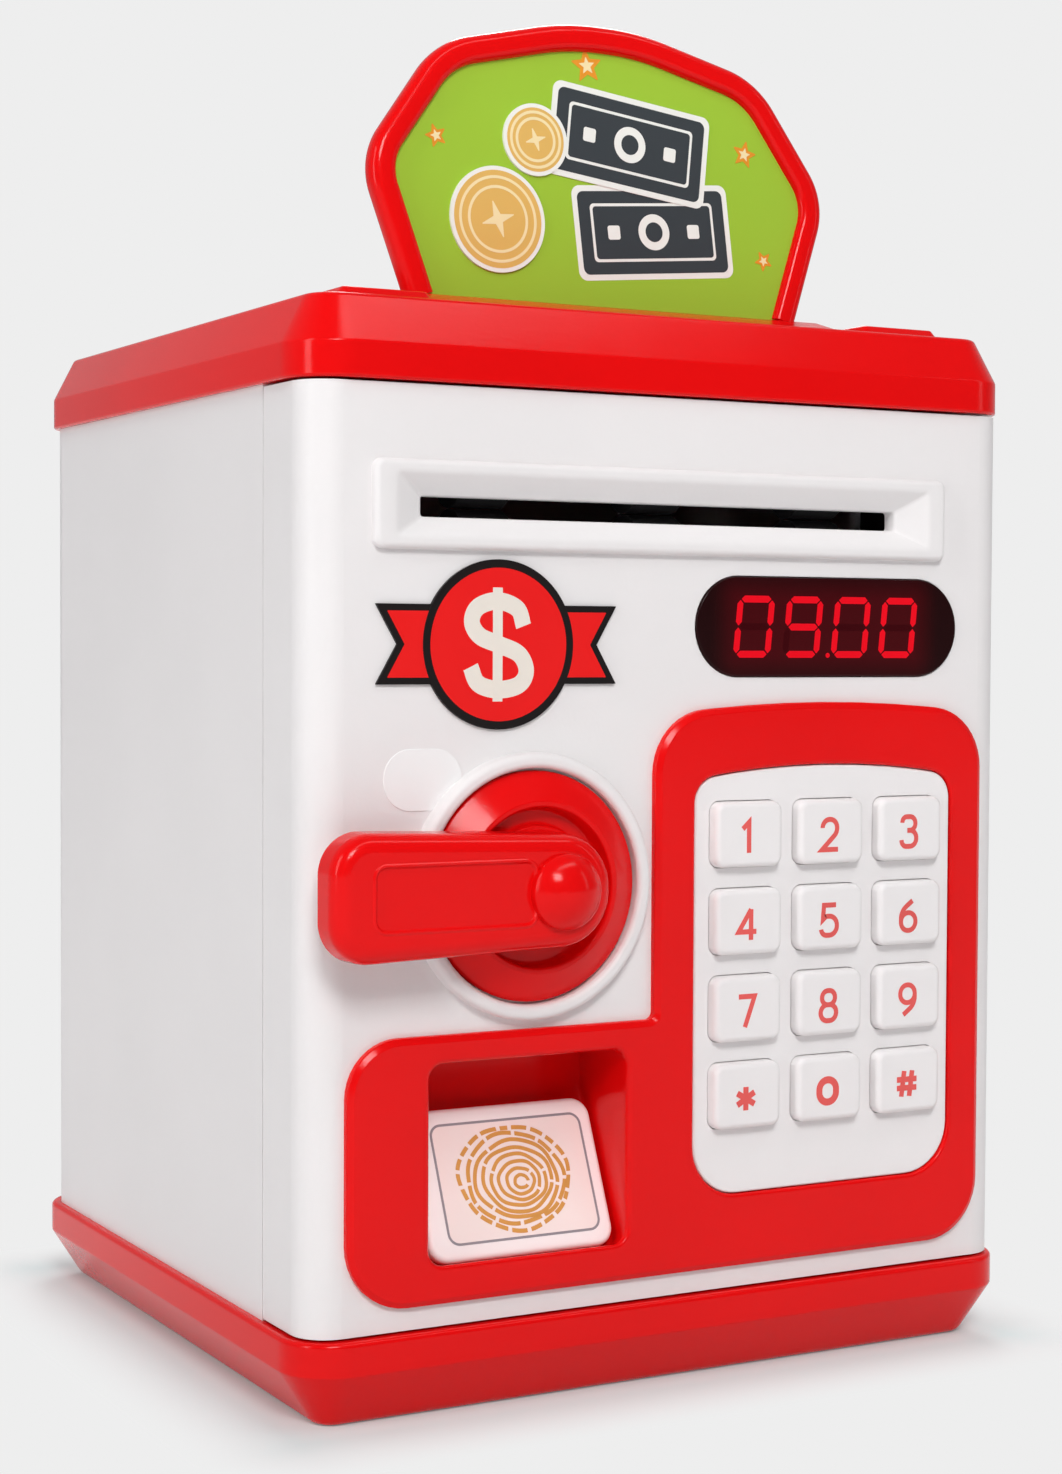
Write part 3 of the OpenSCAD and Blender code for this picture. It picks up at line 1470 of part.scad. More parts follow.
module lever() {
    color(red)
        difference() {
            front_slab(lever_face_y, lever_t)
                translate([dial_x, dial_z])
                    lever_outline();
            rod_y(dial_x, dial_z, lever_face_y - 1, lever_t + 2, handle_screw_r + 0.2);
            rod_y(dial_x, dial_z, lever_face_y - 1, 3.2, 3);
            // Shallow inset on the lever's face
            front_slab(lever_face_y - 1, 1.3)
                translate([dial_x - inset_reach, dial_z])
                    rounded_plan(inset_l, inset_w, inset_r);
        }
}

module lever_cap() {
    skirt = 1;
    rim = asin(cap_r / cap_ball_r);
    dome = [for (k = [0:8])
        let (a = rim * (1 - k / 8))
        [cap_ball_r * sin(a), skirt + cap_h - cap_ball_r * (1 - cos(a))]];
    color(red)
        translate([dial_x, lever_face_y, dial_z])
            rotate([90, 0, 0])
                rotate_extrude()
                    polygon(concat([[0, 0], [cap_r, 0]], dome));
}

// Screw under the cap, and the screw that holds the latch arm
module handle_screws() {
    color(steel) {
        translate([dial_x, lever_face_y + 2.2, dial_z])
            rotate([-90, 0, 0])
                screw(handle_screw_r, 2.6, 1.6, lever_t - 2.2 + handle_screw_bite - 0.5);
        translate([dial_x, shaft_end_y, dial_z])
            rotate([90, 0, 0])
                screw(handle_screw_r, washer_r, washer_t, handle_screw_bite - 0.5);
    }
}

module latch_arm() {
    color(steel)
        difference() {
            front_slab(arm_front_y, arm_t)
                translate([dial_x, dial_z]) {
                    circle(r = arm_eye_r);
                    translate([-arm_w / 2, -arm_l])
                        square([arm_w, arm_l]);
                }
            rod_y(dial_x, dial_z, arm_front_y - 1, arm_t + 2, arm_seat_r + set_clear);
        }
}

base_tray();
rear_shell();
lid();
sign_frame();
sign_panel();
hinge_pins();
latch_strike();
case_screws();
lid_screws();
door_shell();
slot_bezel();
red_panel();
keypad_plate();
keypad_membrane();
keypad_board();
display_window();
display_block();
badge();
feed_frame();
feed_motor();
inner_cover();
battery_box();
battery_cells();
battery_contacts();
battery_cover();
speaker();
lock_solenoid();
pad_switch();
cover_screws();
dial();
lever();
lever_cap();
handle_screws();
latch_arm();
finger_pad();
lock_plunger();
upper_feed_shaft();
upper_tyres();
upper_gear();
lower_feed_shaft();
lower_tyres();
lower_gear();
idler_gear();
motor_shaft();
motor_pinion();
key_1();
key_2();
key_3();
key_4();
key_5();
key_6();
key_7();
key_8();
key_9();
key_star();
key_0();
key_hash();
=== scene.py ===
import math

import bmesh
import bpy
import numpy as np
from mathutils import Matrix, Vector
from mathutils.geometry import delaunay_2d_cdt


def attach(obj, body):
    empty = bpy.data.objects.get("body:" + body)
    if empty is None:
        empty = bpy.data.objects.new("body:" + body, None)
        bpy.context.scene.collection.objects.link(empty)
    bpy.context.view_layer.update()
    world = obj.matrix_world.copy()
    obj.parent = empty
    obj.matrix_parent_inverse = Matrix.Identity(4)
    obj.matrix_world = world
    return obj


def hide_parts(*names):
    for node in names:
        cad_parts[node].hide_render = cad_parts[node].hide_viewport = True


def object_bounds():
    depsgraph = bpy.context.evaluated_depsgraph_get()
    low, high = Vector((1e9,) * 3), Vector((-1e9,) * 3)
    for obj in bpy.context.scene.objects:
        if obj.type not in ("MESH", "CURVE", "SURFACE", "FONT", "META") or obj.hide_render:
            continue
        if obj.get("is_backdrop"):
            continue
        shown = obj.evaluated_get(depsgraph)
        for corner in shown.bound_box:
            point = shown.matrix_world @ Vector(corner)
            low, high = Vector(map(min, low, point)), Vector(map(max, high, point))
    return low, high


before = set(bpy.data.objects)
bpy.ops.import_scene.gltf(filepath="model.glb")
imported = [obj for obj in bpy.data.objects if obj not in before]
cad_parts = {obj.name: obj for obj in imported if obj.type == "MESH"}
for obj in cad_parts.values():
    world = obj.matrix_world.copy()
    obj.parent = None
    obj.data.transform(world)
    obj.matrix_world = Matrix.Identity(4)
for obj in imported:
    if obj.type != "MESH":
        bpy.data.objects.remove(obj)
cad_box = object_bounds()


# The camera stands to the front left of the safe, at the height of its badge, and
# looks slightly down. Its place and lens were fitted to the edges of the case.
MM = 0.001
camera_place = Vector((-224.35, -421.26, 120.92)) * MM
azimuth = math.radians(-28.622)
elevation = math.radians(2.001)
roll = math.radians(0.257)

flat = math.cos(elevation)
back = Vector((math.sin(azimuth) * flat, -math.cos(azimuth) * flat, math.sin(elevation)))
level_right = (-back).cross(Vector((0, 0, 1))).normalized()
level_up = level_right.cross(-back)
right = math.cos(roll) * level_right + math.sin(roll) * level_up
up = math.cos(roll) * level_up - math.sin(roll) * level_right


def placed(name, data):
    """Makes an object of its data and puts it in the scene."""
    made = bpy.data.objects.new(name, data)
    bpy.context.collection.objects.link(made)
    return made


camera = placed("camera", bpy.data.cameras.new("camera"))
camera.data.sensor_width = 36
camera.data.lens = 63.51
camera.data.clip_start = 0.02
camera_turn = Matrix((right, up, back)).transposed().to_4x4()
camera.matrix_world = Matrix.Translation(camera_place) @ camera_turn
bpy.context.scene.camera = camera


# The rear shell is the white case's back and sides in one moulding of satin white
# plastic, held to base and lid by screws. It is the CAD node with a finish.
def srgb(red, green, blue):
    """Scene colour of an 8-bit screen colour, by the screen standard's own curve."""
    value = np.array((red, green, blue)) / 255
    linear = np.where(value <= 0.04045, value / 12.92, ((value + 0.055) / 1.055) ** 2.4)
    return (*linear.tolist(), 1.0)


def scaled(colour, factor):
    """A scene colour times a factor, no brighter than white."""
    return (*(min(1.0, channel * factor) for channel in colour[:3]), 1.0)


class Tone:
    """A shader node's output. Sums and products of it add Math nodes to its tree."""

    def __init__(self, tree, socket=None):
        self.tree = tree
        self.socket = socket

    def node(self, kind, settings, inputs, output=0):
        """Adds a node, with its settings and its sockets' values or links. Gives an output."""
        made = self.tree.nodes.new("ShaderNode" + kind)
        for name, value in settings.items():
            setattr(made, name, value)
        for name, value in inputs.items():
            if isinstance(value, Tone):
                self.tree.links.new(value.socket, made.inputs[name])
            else:
                made.inputs[name].default_value = value
        return Tone(self.tree, made.outputs[output] if made.outputs else None)

    def also(self, output):
        """Another output of the same node."""
        return Tone(self.tree, self.socket.node.outputs[output])

    def math(self, operation, *others, kind="Math", output=0):
        """A Math or VectorMath node on this and the others."""
        return self.node(kind, {"operation": operation}, dict(enumerate((self, *others))), output)

    def __add__(self, other):
        return self.math("ADD", other)

    __radd__ = __add__

    def __sub__(self, other):
        return self.math("SUBTRACT", other)

    def __rsub__(self, other):
        return self.node("Math", {"operation": "SUBTRACT"}, {0: other, 1: self})

    def __mul__(self, other):
        return self.math("MULTIPLY", other)

    __rmul__ = __mul__

    def between(self, low, high):
        """0 below low, 1 above high, and a smooth rise between them."""
        ranged = {0: self, "From Min": low, "From Max": high}
        return self.node("MapRange", {"interpolation_type": "SMOOTHSTEP"}, ranged)

    def mix(self, first, second):
        """The first colour where this is 0 and the second where it is 1."""
        return self.node("Mix", {"data_type": "RGBA"}, {0: self, 6: first, 7: second}, 2)

    def noise(self, scale, detail=2.0):
        """Cloudy noise from 0 to 1 on the place that this vector gives."""
        return self.node("TexNoise", {}, {"Vector": self, "Scale": scale, "Detail": detail})


def emptied(owner):
    """Clears the nodes of a material or world, and gives the start of a new tree."""
    owner.use_nodes = True
    owner.node_tree.nodes.clear()
    return Tone(owner.node_tree)


def finish(name, dress, **constants):
    """A material. dress takes the place on the object and gives what varies, by socket."""
    material = bpy.data.materials.new(name)
    start = emptied(material)
    sockets = {"Specular IOR Level": 0.25}
    for key, value in constants.items():
        sockets[key.replace("_", " ").title().replace("Ior", "IOR")] = value
    sockets.update(dress(start.node("TexCoord", {}, {}, "Object")))
    start.node("OutputMaterial", {}, {"Surface": start.node("BsdfPrincipled", {}, sockets)})
    return material


def moulded(name, colour, roughness, drift=0.04, grain=0.05, haze=0.10, **constants):
    """Moulded plastic: its tone drifts a little over centimetres, handling clouds its gloss
    over millimetres, and the mould leaves a fine grain in its skin."""

    def dress(place):
        cloud = place.noise(22.0).between(0.3, 0.7)
        wear = place.noise(160.0, 3.0)
        skin = place.noise(1500.0, 1.0)
        bump = {"Strength": grain, "Distance": 0.0002, "Height": skin}
        return {
            "Base Color": cloud.mix(scaled(colour, 1 - drift), scaled(colour, 1 + drift)),
            "Roughness": roughness + haze * (wear - 0.5),
            "Normal": place.node("Bump", {}, bump),
        }

    return finish(name, dress, **constants)


def clad(node, material):
    """Gives a CAD node one finish all over."""
    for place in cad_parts[node].material_slots:
        place.material = material


white_plastic = moulded("white_plastic", srgb(232, 229, 229), 0.38, drift=0.012)
clad("rear_shell", white_plastic)


# The base is a shallow red tray in glossy plastic with an upright rim, a chamfer
# under it and a rounded lower edge. Four hollow posts in its floor take the screws.
PLAN = ((1, 0, 0), (0, 1, 0), (0, 0, 1))
SHARP = math.radians(35)
WELD = 0.001 * MM


def rounded(corners, radii, steps=8, closed=True, support=0.0):
    """An outline with rounded corners, drawn anticlockwise, and its outward normals.

    A corner's arc has its centre on the corner's bisector, its points turn evenly from one
    edge's normal to the next one's, and support adds a point on each edge just beside it.
    The normal at a corner without a radius is the bisector, long enough for a mitre.
    """
    corners = np.asarray(corners, float)
    radii = np.broadcast_to(np.asarray(radii, float), len(corners))[:, None, None]
    leave = np.roll(corners, -1, axis=0) - corners
    leave /= np.maximum(np.linalg.norm(leave, axis=1, keepdims=True), 1e-9)
    reach = np.roll(leave, 1, axis=0)
    side = leave @ np.array([[0, -1], [1, 0]])
    side_before = np.roll(side, 1, axis=0)
    dot = np.sum(reach * leave, axis=1)
    turn = np.arctan2(reach[:, 0] * leave[:, 1] - reach[:, 1] * leave[:, 0], dot)
    lean = np.sign(turn)[:, None, None]
    first = np.arctan2(side_before[:, 1], side_before[:, 0])
    angle = first[:, None] + turn[:, None] * np.linspace(0, 1, steps + 1)
    normals = np.stack([np.cos(angle), np.sin(angle)], axis=-1)
    bisector = (side_before + side) / np.maximum(1 + dot, 1e-9)[:, None]
    points = corners[:, None] + lean * radii * (normals - bisector[:, None])
    normals = np.where(radii > 0, normals, bisector[:, None])
    if support:
        before = points[:, :1] - support * reach[:, None]
        after = points[:, -1:] + support * leave[:, None]
        points = np.concatenate([before, points, after], axis=1)
        normals = np.concatenate([normals[:, :1], normals, normals[:, -1:]], axis=1)
    if closed:
        return points.reshape(-1, 2), normals.reshape(-1, 2)
    inner, inner_normals = points[1:-1].reshape(-1, 2), normals[1:-1].reshape(-1, 2)
    return (
        np.concatenate([corners[:1], inner, corners[-1:]]),
        np.concatenate([side[:1], inner_normals, side[-2:-1]]),
    )


def edge(corners, radii, steps=5, support=0.06):
    """A moulded edge's section: an open line of (offset, depth) points with rounded corners."""
    return rounded(corners, radii, steps, closed=False, support=support)[0]


def step(first, behind, front, last, radii, steps=5):
    """A wall's section from one depth to another, whose ends turn off it by first and by last."""
    corners = [(first, behind), (0, behind), (0, front), (last, front)]
    return edge(corners, [0, *radii, 0], steps)


def rectangle(half_w, half_h, middle=(0, 0)):
    """Corners of a rectangle about its middle, anticlockwise."""
    signs = np.array([(1, -1), (1, 1), (-1, 1), (-1, -1)])
    return np.array(middle) + signs * (half_w, half_h)


def ring(middle, steps=96):
    """An outline shrunk to a point, whose normals go round: offsets from it are radii."""
    angle = np.linspace(0, 2 * np.pi, steps, endpoint=False)
    normals = np.stack([np.cos(angle), np.sin(angle)], axis=-1)
    return np.tile(np.asarray(middle, float), (steps, 1)), normals


def grown(outline, offset):
    """The outline moved along its normals."""
    return outline[0] + offset * outline[1]


def inside(points, loop):
    """Which points lie in a closed loop: a line to the right meets it an odd number of times."""
    a, b = loop, np.roll(loop, -1, axis=0)
    x, y = points[:, None, 0], points[:, None, 1]
    rise = b[:, 1] - a[:, 1]
    across = (a[:, 1] > y) != (b[:, 1] > y)
    meet = a[:, 0] + (y - a[:, 1]) * (b[:, 0] - a[:, 0]) / np.where(rise == 0, 1e-12, rise)
    return np.sum(across & (x < meet), axis=1) % 2 == 1


class Moulding:
    """Collects the skins of one piece, drawn flat in a view with a depth, and makes its mesh."""

    def __init__(self, view, origin=(0, 0, 0)):
        self.view = np.array(view, float)
        self.origin = np.array(origin, float)
        self.points = []
        self.faces = []
        self.paints = []
        self.count = 0

    def add(self, flat, depth, faces, paint):
        """Adds points, given by their place in the view and their depth, and faces on them."""
        depth = np.broadcast_to(depth, len(flat))
        self.points.append(np.concatenate([flat, depth[:, None]], axis=1) @ self.view + self.origin)
        self.faces.extend((np.asarray(faces) + self.count).tolist())
        self.paints.extend([paint] * len(faces))
        self.count += len(flat)

    def skin(self, rings, depths, along=False, paint=0):
        """Quads round and between rings of equal count, and from the last to the first if along."""
        rings = np.asarray(rings, float)
        rows, columns = rings.shape[:2]
        depths = np.broadcast_to(np.asarray(depths, float).reshape(rows, -1), (rows, columns))
        index = np.arange(rows * columns).reshape(rows, columns)
        index = np.concatenate([index, index[:, :1]], axis=1)
        if along:
            index = np.concatenate([index, index[:1]], axis=0)
        quads = np.stack([index[:-1, :-1], index[:-1, 1:], index[1:, 1:], index[1:, :-1]], axis=-1)
        self.add(rings.reshape(-1, 2), depths.reshape(-1), quads.reshape(-1, 4), paint)

    def wall(self, outline, section, paint=0):
        """Carries a section of (offset, depth) points round a closed outline."""
        section = np.asarray(section, float)
        self.skin(outline[0] + section[:, :1, None] * outline[1], section[:, 1], paint=paint)

    def face(self, depth, outer, holes=(), paint=0):
        """Fills a loop at one depth with triangles, apart from its holes."""
        loops = [np.asarray(loop) for loop in (outer, *holes)]
        ends = np.cumsum([len(loop) for loop in loops])
        index = np.arange(ends[-1])
        ahead = index + 1
        ahead[ends - 1] = np.concatenate([[0], ends[:-1]])
        lines = np.stack([index, ahead], axis=1).tolist()
        corners = np.concatenate(loops).tolist()
        points, _, triangles, *_ = delaunay_2d_cdt(corners, lines, [], 1, 1e-6, False)
        points = np.array([tuple(point) for point in points])
        triangles = np.array(triangles)
        middles = points[triangles].mean(axis=1)
        kept = inside(middles, loops[0])
        for hole in loops[1:]:
            kept &= ~inside(middles, hole)
        self.add(points, depth, triangles[kept], paint)

    def block(self, outline, section, first_holes=(), last_holes=(), paint=0):
        """A section carried round an outline, with a face at its first and at its last point."""
        section = np.asarray(section, float)
        self.wall(outline, section, paint)
        for (offset, depth), holes in ((section[0], first_holes), (section[-1], last_holes)):
            self.face(depth, grown(outline, offset), holes, paint)

    def plate(self, outline, behind, front, rim=0.0, paint=0):
        """A flat plate from a depth behind to one in front, with its front edge rounded by rim."""
        section = [(0, behind), (0, front)]
        if rim:
            section = edge([*section, (-rim - 0.11, front)], [0, rim, 0])
        self.block(outline, section, paint=paint)

    def bead(self, path, section, closed=False, paint=0):
        """Carries a closed section of (offset, depth) points along a path, and caps open ends."""
        section = np.asarray(section, float)
        rings = (path[0] + section[:, :1, None] * path[1]).transpose(1, 0, 2)
        self.skin(rings, np.tile(section[:, 1], (len(rings), 1)), along=closed, paint=paint)
        if not closed:
            cap = np.arange(len(section))[None, :]
            for end in (0, -1):
                self.add(rings[end], section[:, 1], cap, paint)

    def stroke(self, path, width, behind, front, closed=False, paint=0):
        """A printed line of a width along a path."""
        half = width / 2
        section = [(half, behind), (half, front), (-half, front), (-half, behind)]
        self.bead(path, section, closed, paint)

    def make(self, name, materials, body, slot, *nodes):
        """Welds the skins, turns faces outward, gives the piece its body and hides the nodes. Slot
        is unused.
        """
        mesh = bpy.data.meshes.new(name)
        mesh.from_pydata((np.concatenate(self.points) * MM).tolist(), [], self.faces)
        mesh.polygons.foreach_set("material_index", self.paints)
        for material in materials:
            mesh.materials.append(material)
        shell = bmesh.new()
        shell.from_mesh(mesh)
        bmesh.ops.remove_doubles(shell, verts=shell.verts, dist=WELD)
        bmesh.ops.dissolve_degenerate(shell, edges=shell.edges, dist=WELD / 2)
        bmesh.ops.recalc_face_normals(shell, faces=shell.faces)
        shell.to_mesh(mesh)
        shell.free()
        mesh.shade_smooth()
        mesh.set_sharp_from_angle(angle=SHARP)
        piece = placed(name, mesh)
        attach(piece, body)
        if nodes:
            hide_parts(*nodes)


base_top = 14.4
base_floor = 2.4
chamfer_top = 9.1
foot_inset = 5.8
base_outline = rounded(rectangle(68, 63), 9)
tray_outline = rounded(rectangle(60.5, 55.5), 4)
case_posts = [ring((x, y), 40) for x in (-56.6, 56.6) for y in (-36, 51.6)]
post_r = 3.5
post_top = 5.5
screw_r = 1.32
counterbore_r = 3.2
counterbore_top = 3

red_plastic = moulded(
    "red_plastic", srgb(226, 10, 12), 0.16, 0.03, haze=0.08, specular_ior_level=0.17
)
base = Moulding(PLAN)
base_section = edge(
    [(-8, 0), (-foot_inset, 0), (0, chamfer_top), (0, base_top), (-2, base_top)],
    [0, 2.4, 0.9, 0.8, 0],
)
counterbores = [grown(post, counterbore_r) for post in case_posts]
base.block(base_outline, base_section, counterbores, [grown(tray_outline, 1)])
base.wall(tray_outline, step(1, base_top, base_floor, -2, (0.5, 1)))
post_section = edge(
    [
        (post_r + 0.8, base_floor),
        (post_r, base_floor),
        (post_r, post_top),
        (screw_r, post_top),
        (screw_r, counterbore_top),
        (counterbore_r, counterbore_top),
        (counterbore_r, 0),
    ],
    [0, 0.5, 0.3, 0.1, 0.1, 0.2, 0],
    support=0.02,
)
for post in case_posts:
    base.wall(post, post_section)
post_feet = [grown(post, post_r + 0.8) for post in case_posts]
base.face(base_floor, grown(tray_outline, -2), post_feet)
base.make("base", [red_plastic], "case", "red_plastic", "base_tray")


# The lid is a red hollow moulding with an upright skirt and a leaning bevel. Low
# pads mark its corners, a lip stands round the coin slot and a seat holds the sign.
SIDE = ((0, 1, 0), (0, 0, 1), (1, 0, 0))
lid_low = 161.5
lid_bend = 167.0
lid_top = 174.7
lid_ceiling = 172.5
bevel_inset = 3.9
lid_outline = rounded(rectangle(67.5, 62.5), 9)
lid_hollow = rounded(rectangle(62, 57), 4)
coin_middle = (0, 14)
coin_slot = rounded(rectangle(16, 1.8, coin_middle), 0.5)
coin_lip = rounded(rectangle(20, 5.8, coin_middle), 3)
coin_lip_top = 175.9
pad_top = 176.5
pads = [rounded(rectangle(8.7, 16.5, (x, y)), 2.2) for x in (-49.3, 49.3) for y in (-37.5, 37.5)]
lid_post_low = 161.6
lid_screw_end = 169.5

lid = Moulding(PLAN)
lid_section = edge(
    [(-2, lid_low), (0, lid_low), (0, lid_bend), (-bevel_inset, lid_top), (-6, lid_top)],
    [0, 0.5, 1, 1, 0],
)
lid_top_holes = [grown(coin_lip, 1)] + [grown(pad, 0.8) for pad in pads]
lid.block(lid_outline, lid_section, [grown(lid_hollow, 1.5)], lid_top_holes)
lid.wall(lid_hollow, step(1.5, lid_low, lid_ceiling, -2, (0.4, 1.2)))
lid.wall(coin_lip, step(1, lid_top, coin_lip_top, -1.2, (0.4, 0.5)))
lid.wall(coin_slot, step(0.8, coin_lip_top, lid_ceiling, 0.8, (0.4, 0.1)))
lid.face(coin_lip_top, grown(coin_lip, -1.2), [grown(coin_slot, 0.8)])
pad_section = edge(
    [(0.8, lid_top), (0, lid_top), (-1.4, pad_top), (-2.1, pad_top)],
    [0, 0.4, 0.6, 0],
)
for pad in pads:
    lid.wall(pad, pad_section)
    lid.face(pad_top, grown(pad, -2.1))
lid_post_section = edge(
    [
        (0, lid_screw_end),
        (screw_r, lid_screw_end),
        (screw_r, lid_post_low),
        (post_r, lid_post_low),
        (post_r, lid_ceiling),
    ],
    [0, 0.1, 0.2, 0.3, 0],
)
for post in case_posts:
    lid.wall(post, lid_post_section)
post_roots = [grown(post, post_r) for post in case_posts]
lid.face(lid_ceiling, grown(lid_hollow, -2), [grown(coin_slot, 0.8)] + post_roots)

seat_half = 41.3
seat_top = 178.2
seat_low = 173.2
seat_corners = [(-57.2, seat_low), (-30, seat_low), (-30, seat_top), (-39.8, seat_top)]
seat_outline = rounded(seat_corners, [0.9, 0.9, 0.9, 2.5])
lid.view = np.array(SIDE, float)
lid.block(seat_outline, step(-0.8, -seat_half, seat_half, -0.8, (0.7, 0.7)))
lid.make("lid", [red_plastic], "case", "red_plastic", "lid")


# The sign plugs into the lid and leans back a little: a round red bead bent into an
# arch, with a green panel in its groove. Its print is a plain one of notes and coins.
sign_y = -36
sign_lift = 0.14
sign_lean = math.radians(3.5)
leaned = np.array(
    [
        (1, 0, 0),
        (0, math.sin(sign_lean), math.cos(sign_lean)),
        (0, math.cos(sign_lean), -math.sin(sign_lean)),
    ]
)
sign_foot = np.array((0, sign_y, seat_top + sign_lift))
sign_place = sign_foot - np.array((0, seat_top, sign_y)) @ leaned
card_foot = np.array((0, seat_top))
sign_corners = [(37.8, -1), (45.6, 22), (31.3, 42.3), (7, 48.2)]
sign_corners += [(-x, z) for x, z in reversed(sign_corners)]
sign_radii = [0, 12, 16, 52, 52, 16, 12, 0]
sign_path = rounded(sign_corners + card_foot, sign_radii, 16, closed=False)
bead_w = 4.6
bead_front = sign_y - 2.3
bead_back = sign_y + 2.3
bead_corners = [(0, bead_back), (-bead_w, bead_back), (-bead_w, bead_front), (0, bead_front)]
sign_bead = Moulding(leaned, sign_place)
sign_bead.bead(sign_path, rounded(bead_corners, [2.0, 1.4, 1.4, 2.0], 7)[0])
sign_bead.make("sign_bead", [red_plastic], "case", "red_plastic", "sign_frame")


def printed(name, colour, drift, roughness=0.42):
    """Ink or card: a plastic film with hardly any grain."""
    return moulded(name, colour, roughness, drift, grain=0.02)


green_card = printed("green_card", srgb(155, 195, 56), 0.02)
note_ink = printed("note_ink", srgb(58, 64, 68), 0.05, 0.40)
white_ink = printed("white_ink", srgb(236, 238, 232), 0.01)
gold_ink = printed("gold_ink", srgb(222, 180, 98), 0.05)
pale_ink = printed("pale_ink", srgb(240, 222, 172), 0.02)
orange_ink = printed("orange_ink", srgb(226, 148, 44), 0.05)
card_paints = [green_card, note_ink, white_ink, gold_ink, pale_ink, orange_ink]
DARK, WHITE, GOLD, PALE, ORANGE = range(1, 6)
card_front = sign_y - 0.8
card_back = sign_y + 0.8
ink = 0.03


def tilted(points, middle, degrees):
    """Points or outlines turned about the origin, then moved to a middle."""
    turn = math.radians(degrees)
    spin = np.array([[math.cos(turn), math.sin(turn)], [-math.sin(turn), math.cos(turn)]])
    if isinstance(points, tuple):
        return points[0] @ spin + middle, points[1] @ spin
    return np.asarray(points, float) @ spin + middle


def star(reach, waist, points=5):
    """Corners of a star: radii that alternate between its points and its waist, evenly round."""
    index = np.arange(2 * points)
    angle = np.pi / 2 + index * np.pi / points
    radius = np.where(index % 2 == 0, reach, waist)
    return np.stack([radius * np.cos(angle), radius * np.sin(angle)], axis=-1)


def disc(middle, radius, steps=96):
    """A round outline."""
    around = ring(middle, steps)
    return grown(around, radius), around[1]


sign_card = Moulding(leaned, sign_place)
sign_card.plate((grown(sign_path, -3.4), sign_path[1]), card_back, card_front)


def print_shape(outline, level, paint):
    """Prints a shape on the card, a number of ink layers thick."""
    sign_card.plate(outline, card_front, card_front - ink * level, paint=paint)


def print_note(middle, degrees, level):
    """A banknote: a dark sheet with a white edge, a white line inside and a round field."""
    sheets = ((15.6, 8.1, 1.6), (14.6, 7.1, 1.2), (12.3, 5.0, 0.8), (11.8, 4.5, 0.6))
    for above, (half_w, half_h, corner) in enumerate(sheets, 1):
        sheet = tilted(rounded(rectangle(half_w, half_h), corner), middle, degrees)
        print_shape(sheet, level + above, WHITE if above % 2 else DARK)
    print_shape(disc(middle, 3.1), level + 5, WHITE)
    print_shape(disc(middle, 1.7), level + 6, DARK)
    for side in (-1, 1):
        pip = rounded(rectangle(1.2, 1.2, (side * 8, 0)), 0.4)
        print_shape(tilted(pip, middle, degrees), level + 5, WHITE)


def print_coin(middle, radius):
    """A coin: a gold disc with a white edge, pale rings and a pale four-pointed spark."""
    print_shape(disc(middle, radius + 0.7), 14, WHITE)
    print_shape(disc(middle, radius), 15, GOLD)
    for share in (0.86, 0.66):
        path = disc(middle, radius * share)
        sign_card.stroke(path, 0.5, card_front, card_front - ink * 16, closed=True, paint=PALE)
    spark = tilted(star(radius * 0.42, radius * 0.12, 4), middle, 18)
    print_shape(rounded(spark, 0.1, 3), 16, PALE)


print_note(card_foot + (9.5, 13.8), 5, 0)
print_note(card_foot + (5.0, 28.4), -7, 6)
print_coin(card_foot + (-21, 13.5), 8.2)
print_coin(card_foot + (-13.5, 27.5), 5.4)
stars = [(-3, 41.2, 3.2, 8), (28.5, 29, 2.6, -12), (-32, 26.5, 2.2, 20), (32, 10.5, 2, 30)]
for x, z, reach, degrees in stars:
    shape = tilted(star(reach, reach * 0.45), card_foot + (x, z), degrees)
    print_shape(rounded(shape, 0.12, 3), 2, ORANGE)
    core = tilted(star(reach * 0.5, reach * 0.22), card_foot + (x, z), degrees)
    print_shape(rounded(core, 0.05, 3), 3, PALE)
sign_card.make("sign_card", card_paints, "case", "green_plastic", "sign_panel")


# The door is a white shell that swings on two steel pins at its right edge. A
# raised ring stands round its dial, and a bare paper patch is stuck beside it.
FRONT = ((1, 0, 0), (0, 0, 1), (0, 1, 0))
door_face = -61.4
dial = (-28.1, 83.1)
ring_back = door_face + 0.4
ring_crest = door_face - 2.55
ring_in_r = 18.75
ring_out_r = 21.25
clad("door_shell", white_plastic)
dial_ring = Moulding(FRONT)
ring_section = edge(
    [(ring_in_r, ring_back), (18.68, ring_crest), (21.05, ring_crest), (ring_out_r, ring_back)],
    [0, 0.9, 1.1, 0],
    8,
)
dial_ring.wall(ring(dial, 128), ring_section)
dial_ring.wall(ring(dial, 128), [(ring_in_r, ring_back), (ring_out_r, ring_back)])
dial_ring.make("dial_ring", [white_plastic], "door", "white_plastic")

patch_paper = printed("patch_paper", srgb(240, 240, 240), 0.004, 0.5)
patch = Moulding(FRONT)
patch_outline = rounded(rectangle(6.7, 4.8, (-47, 100.2)), 4.6, 14)
patch.plate(patch_outline, door_face + 0.1, door_face - 0.12, rim=0.06)
patch.make("bare_patch", [patch_paper], "door", "white_plastic")


# The note slot's bezel is a white frame pressed into the door, with a soft rim and
# four flat sides that lead down to the slot. Its collar shuts off the door's inside.
slot_middle = np.array((-1.8, 142.65))
bezel_outline = rounded(rectangle(54, 6.9, slot_middle), 1.6)
bezel_back = door_face + 0.5
bezel_front = -63.0
funnel_back = -60.4
collar_back = -57.8


def slot_ring(half_w, half_h, corner=0.6, shift=0.0):
    """One ring of the funnel, moved to the left and down by a shift."""
    return rounded(rectangle(half_w, half_h, slot_middle - shift), corner)[0]


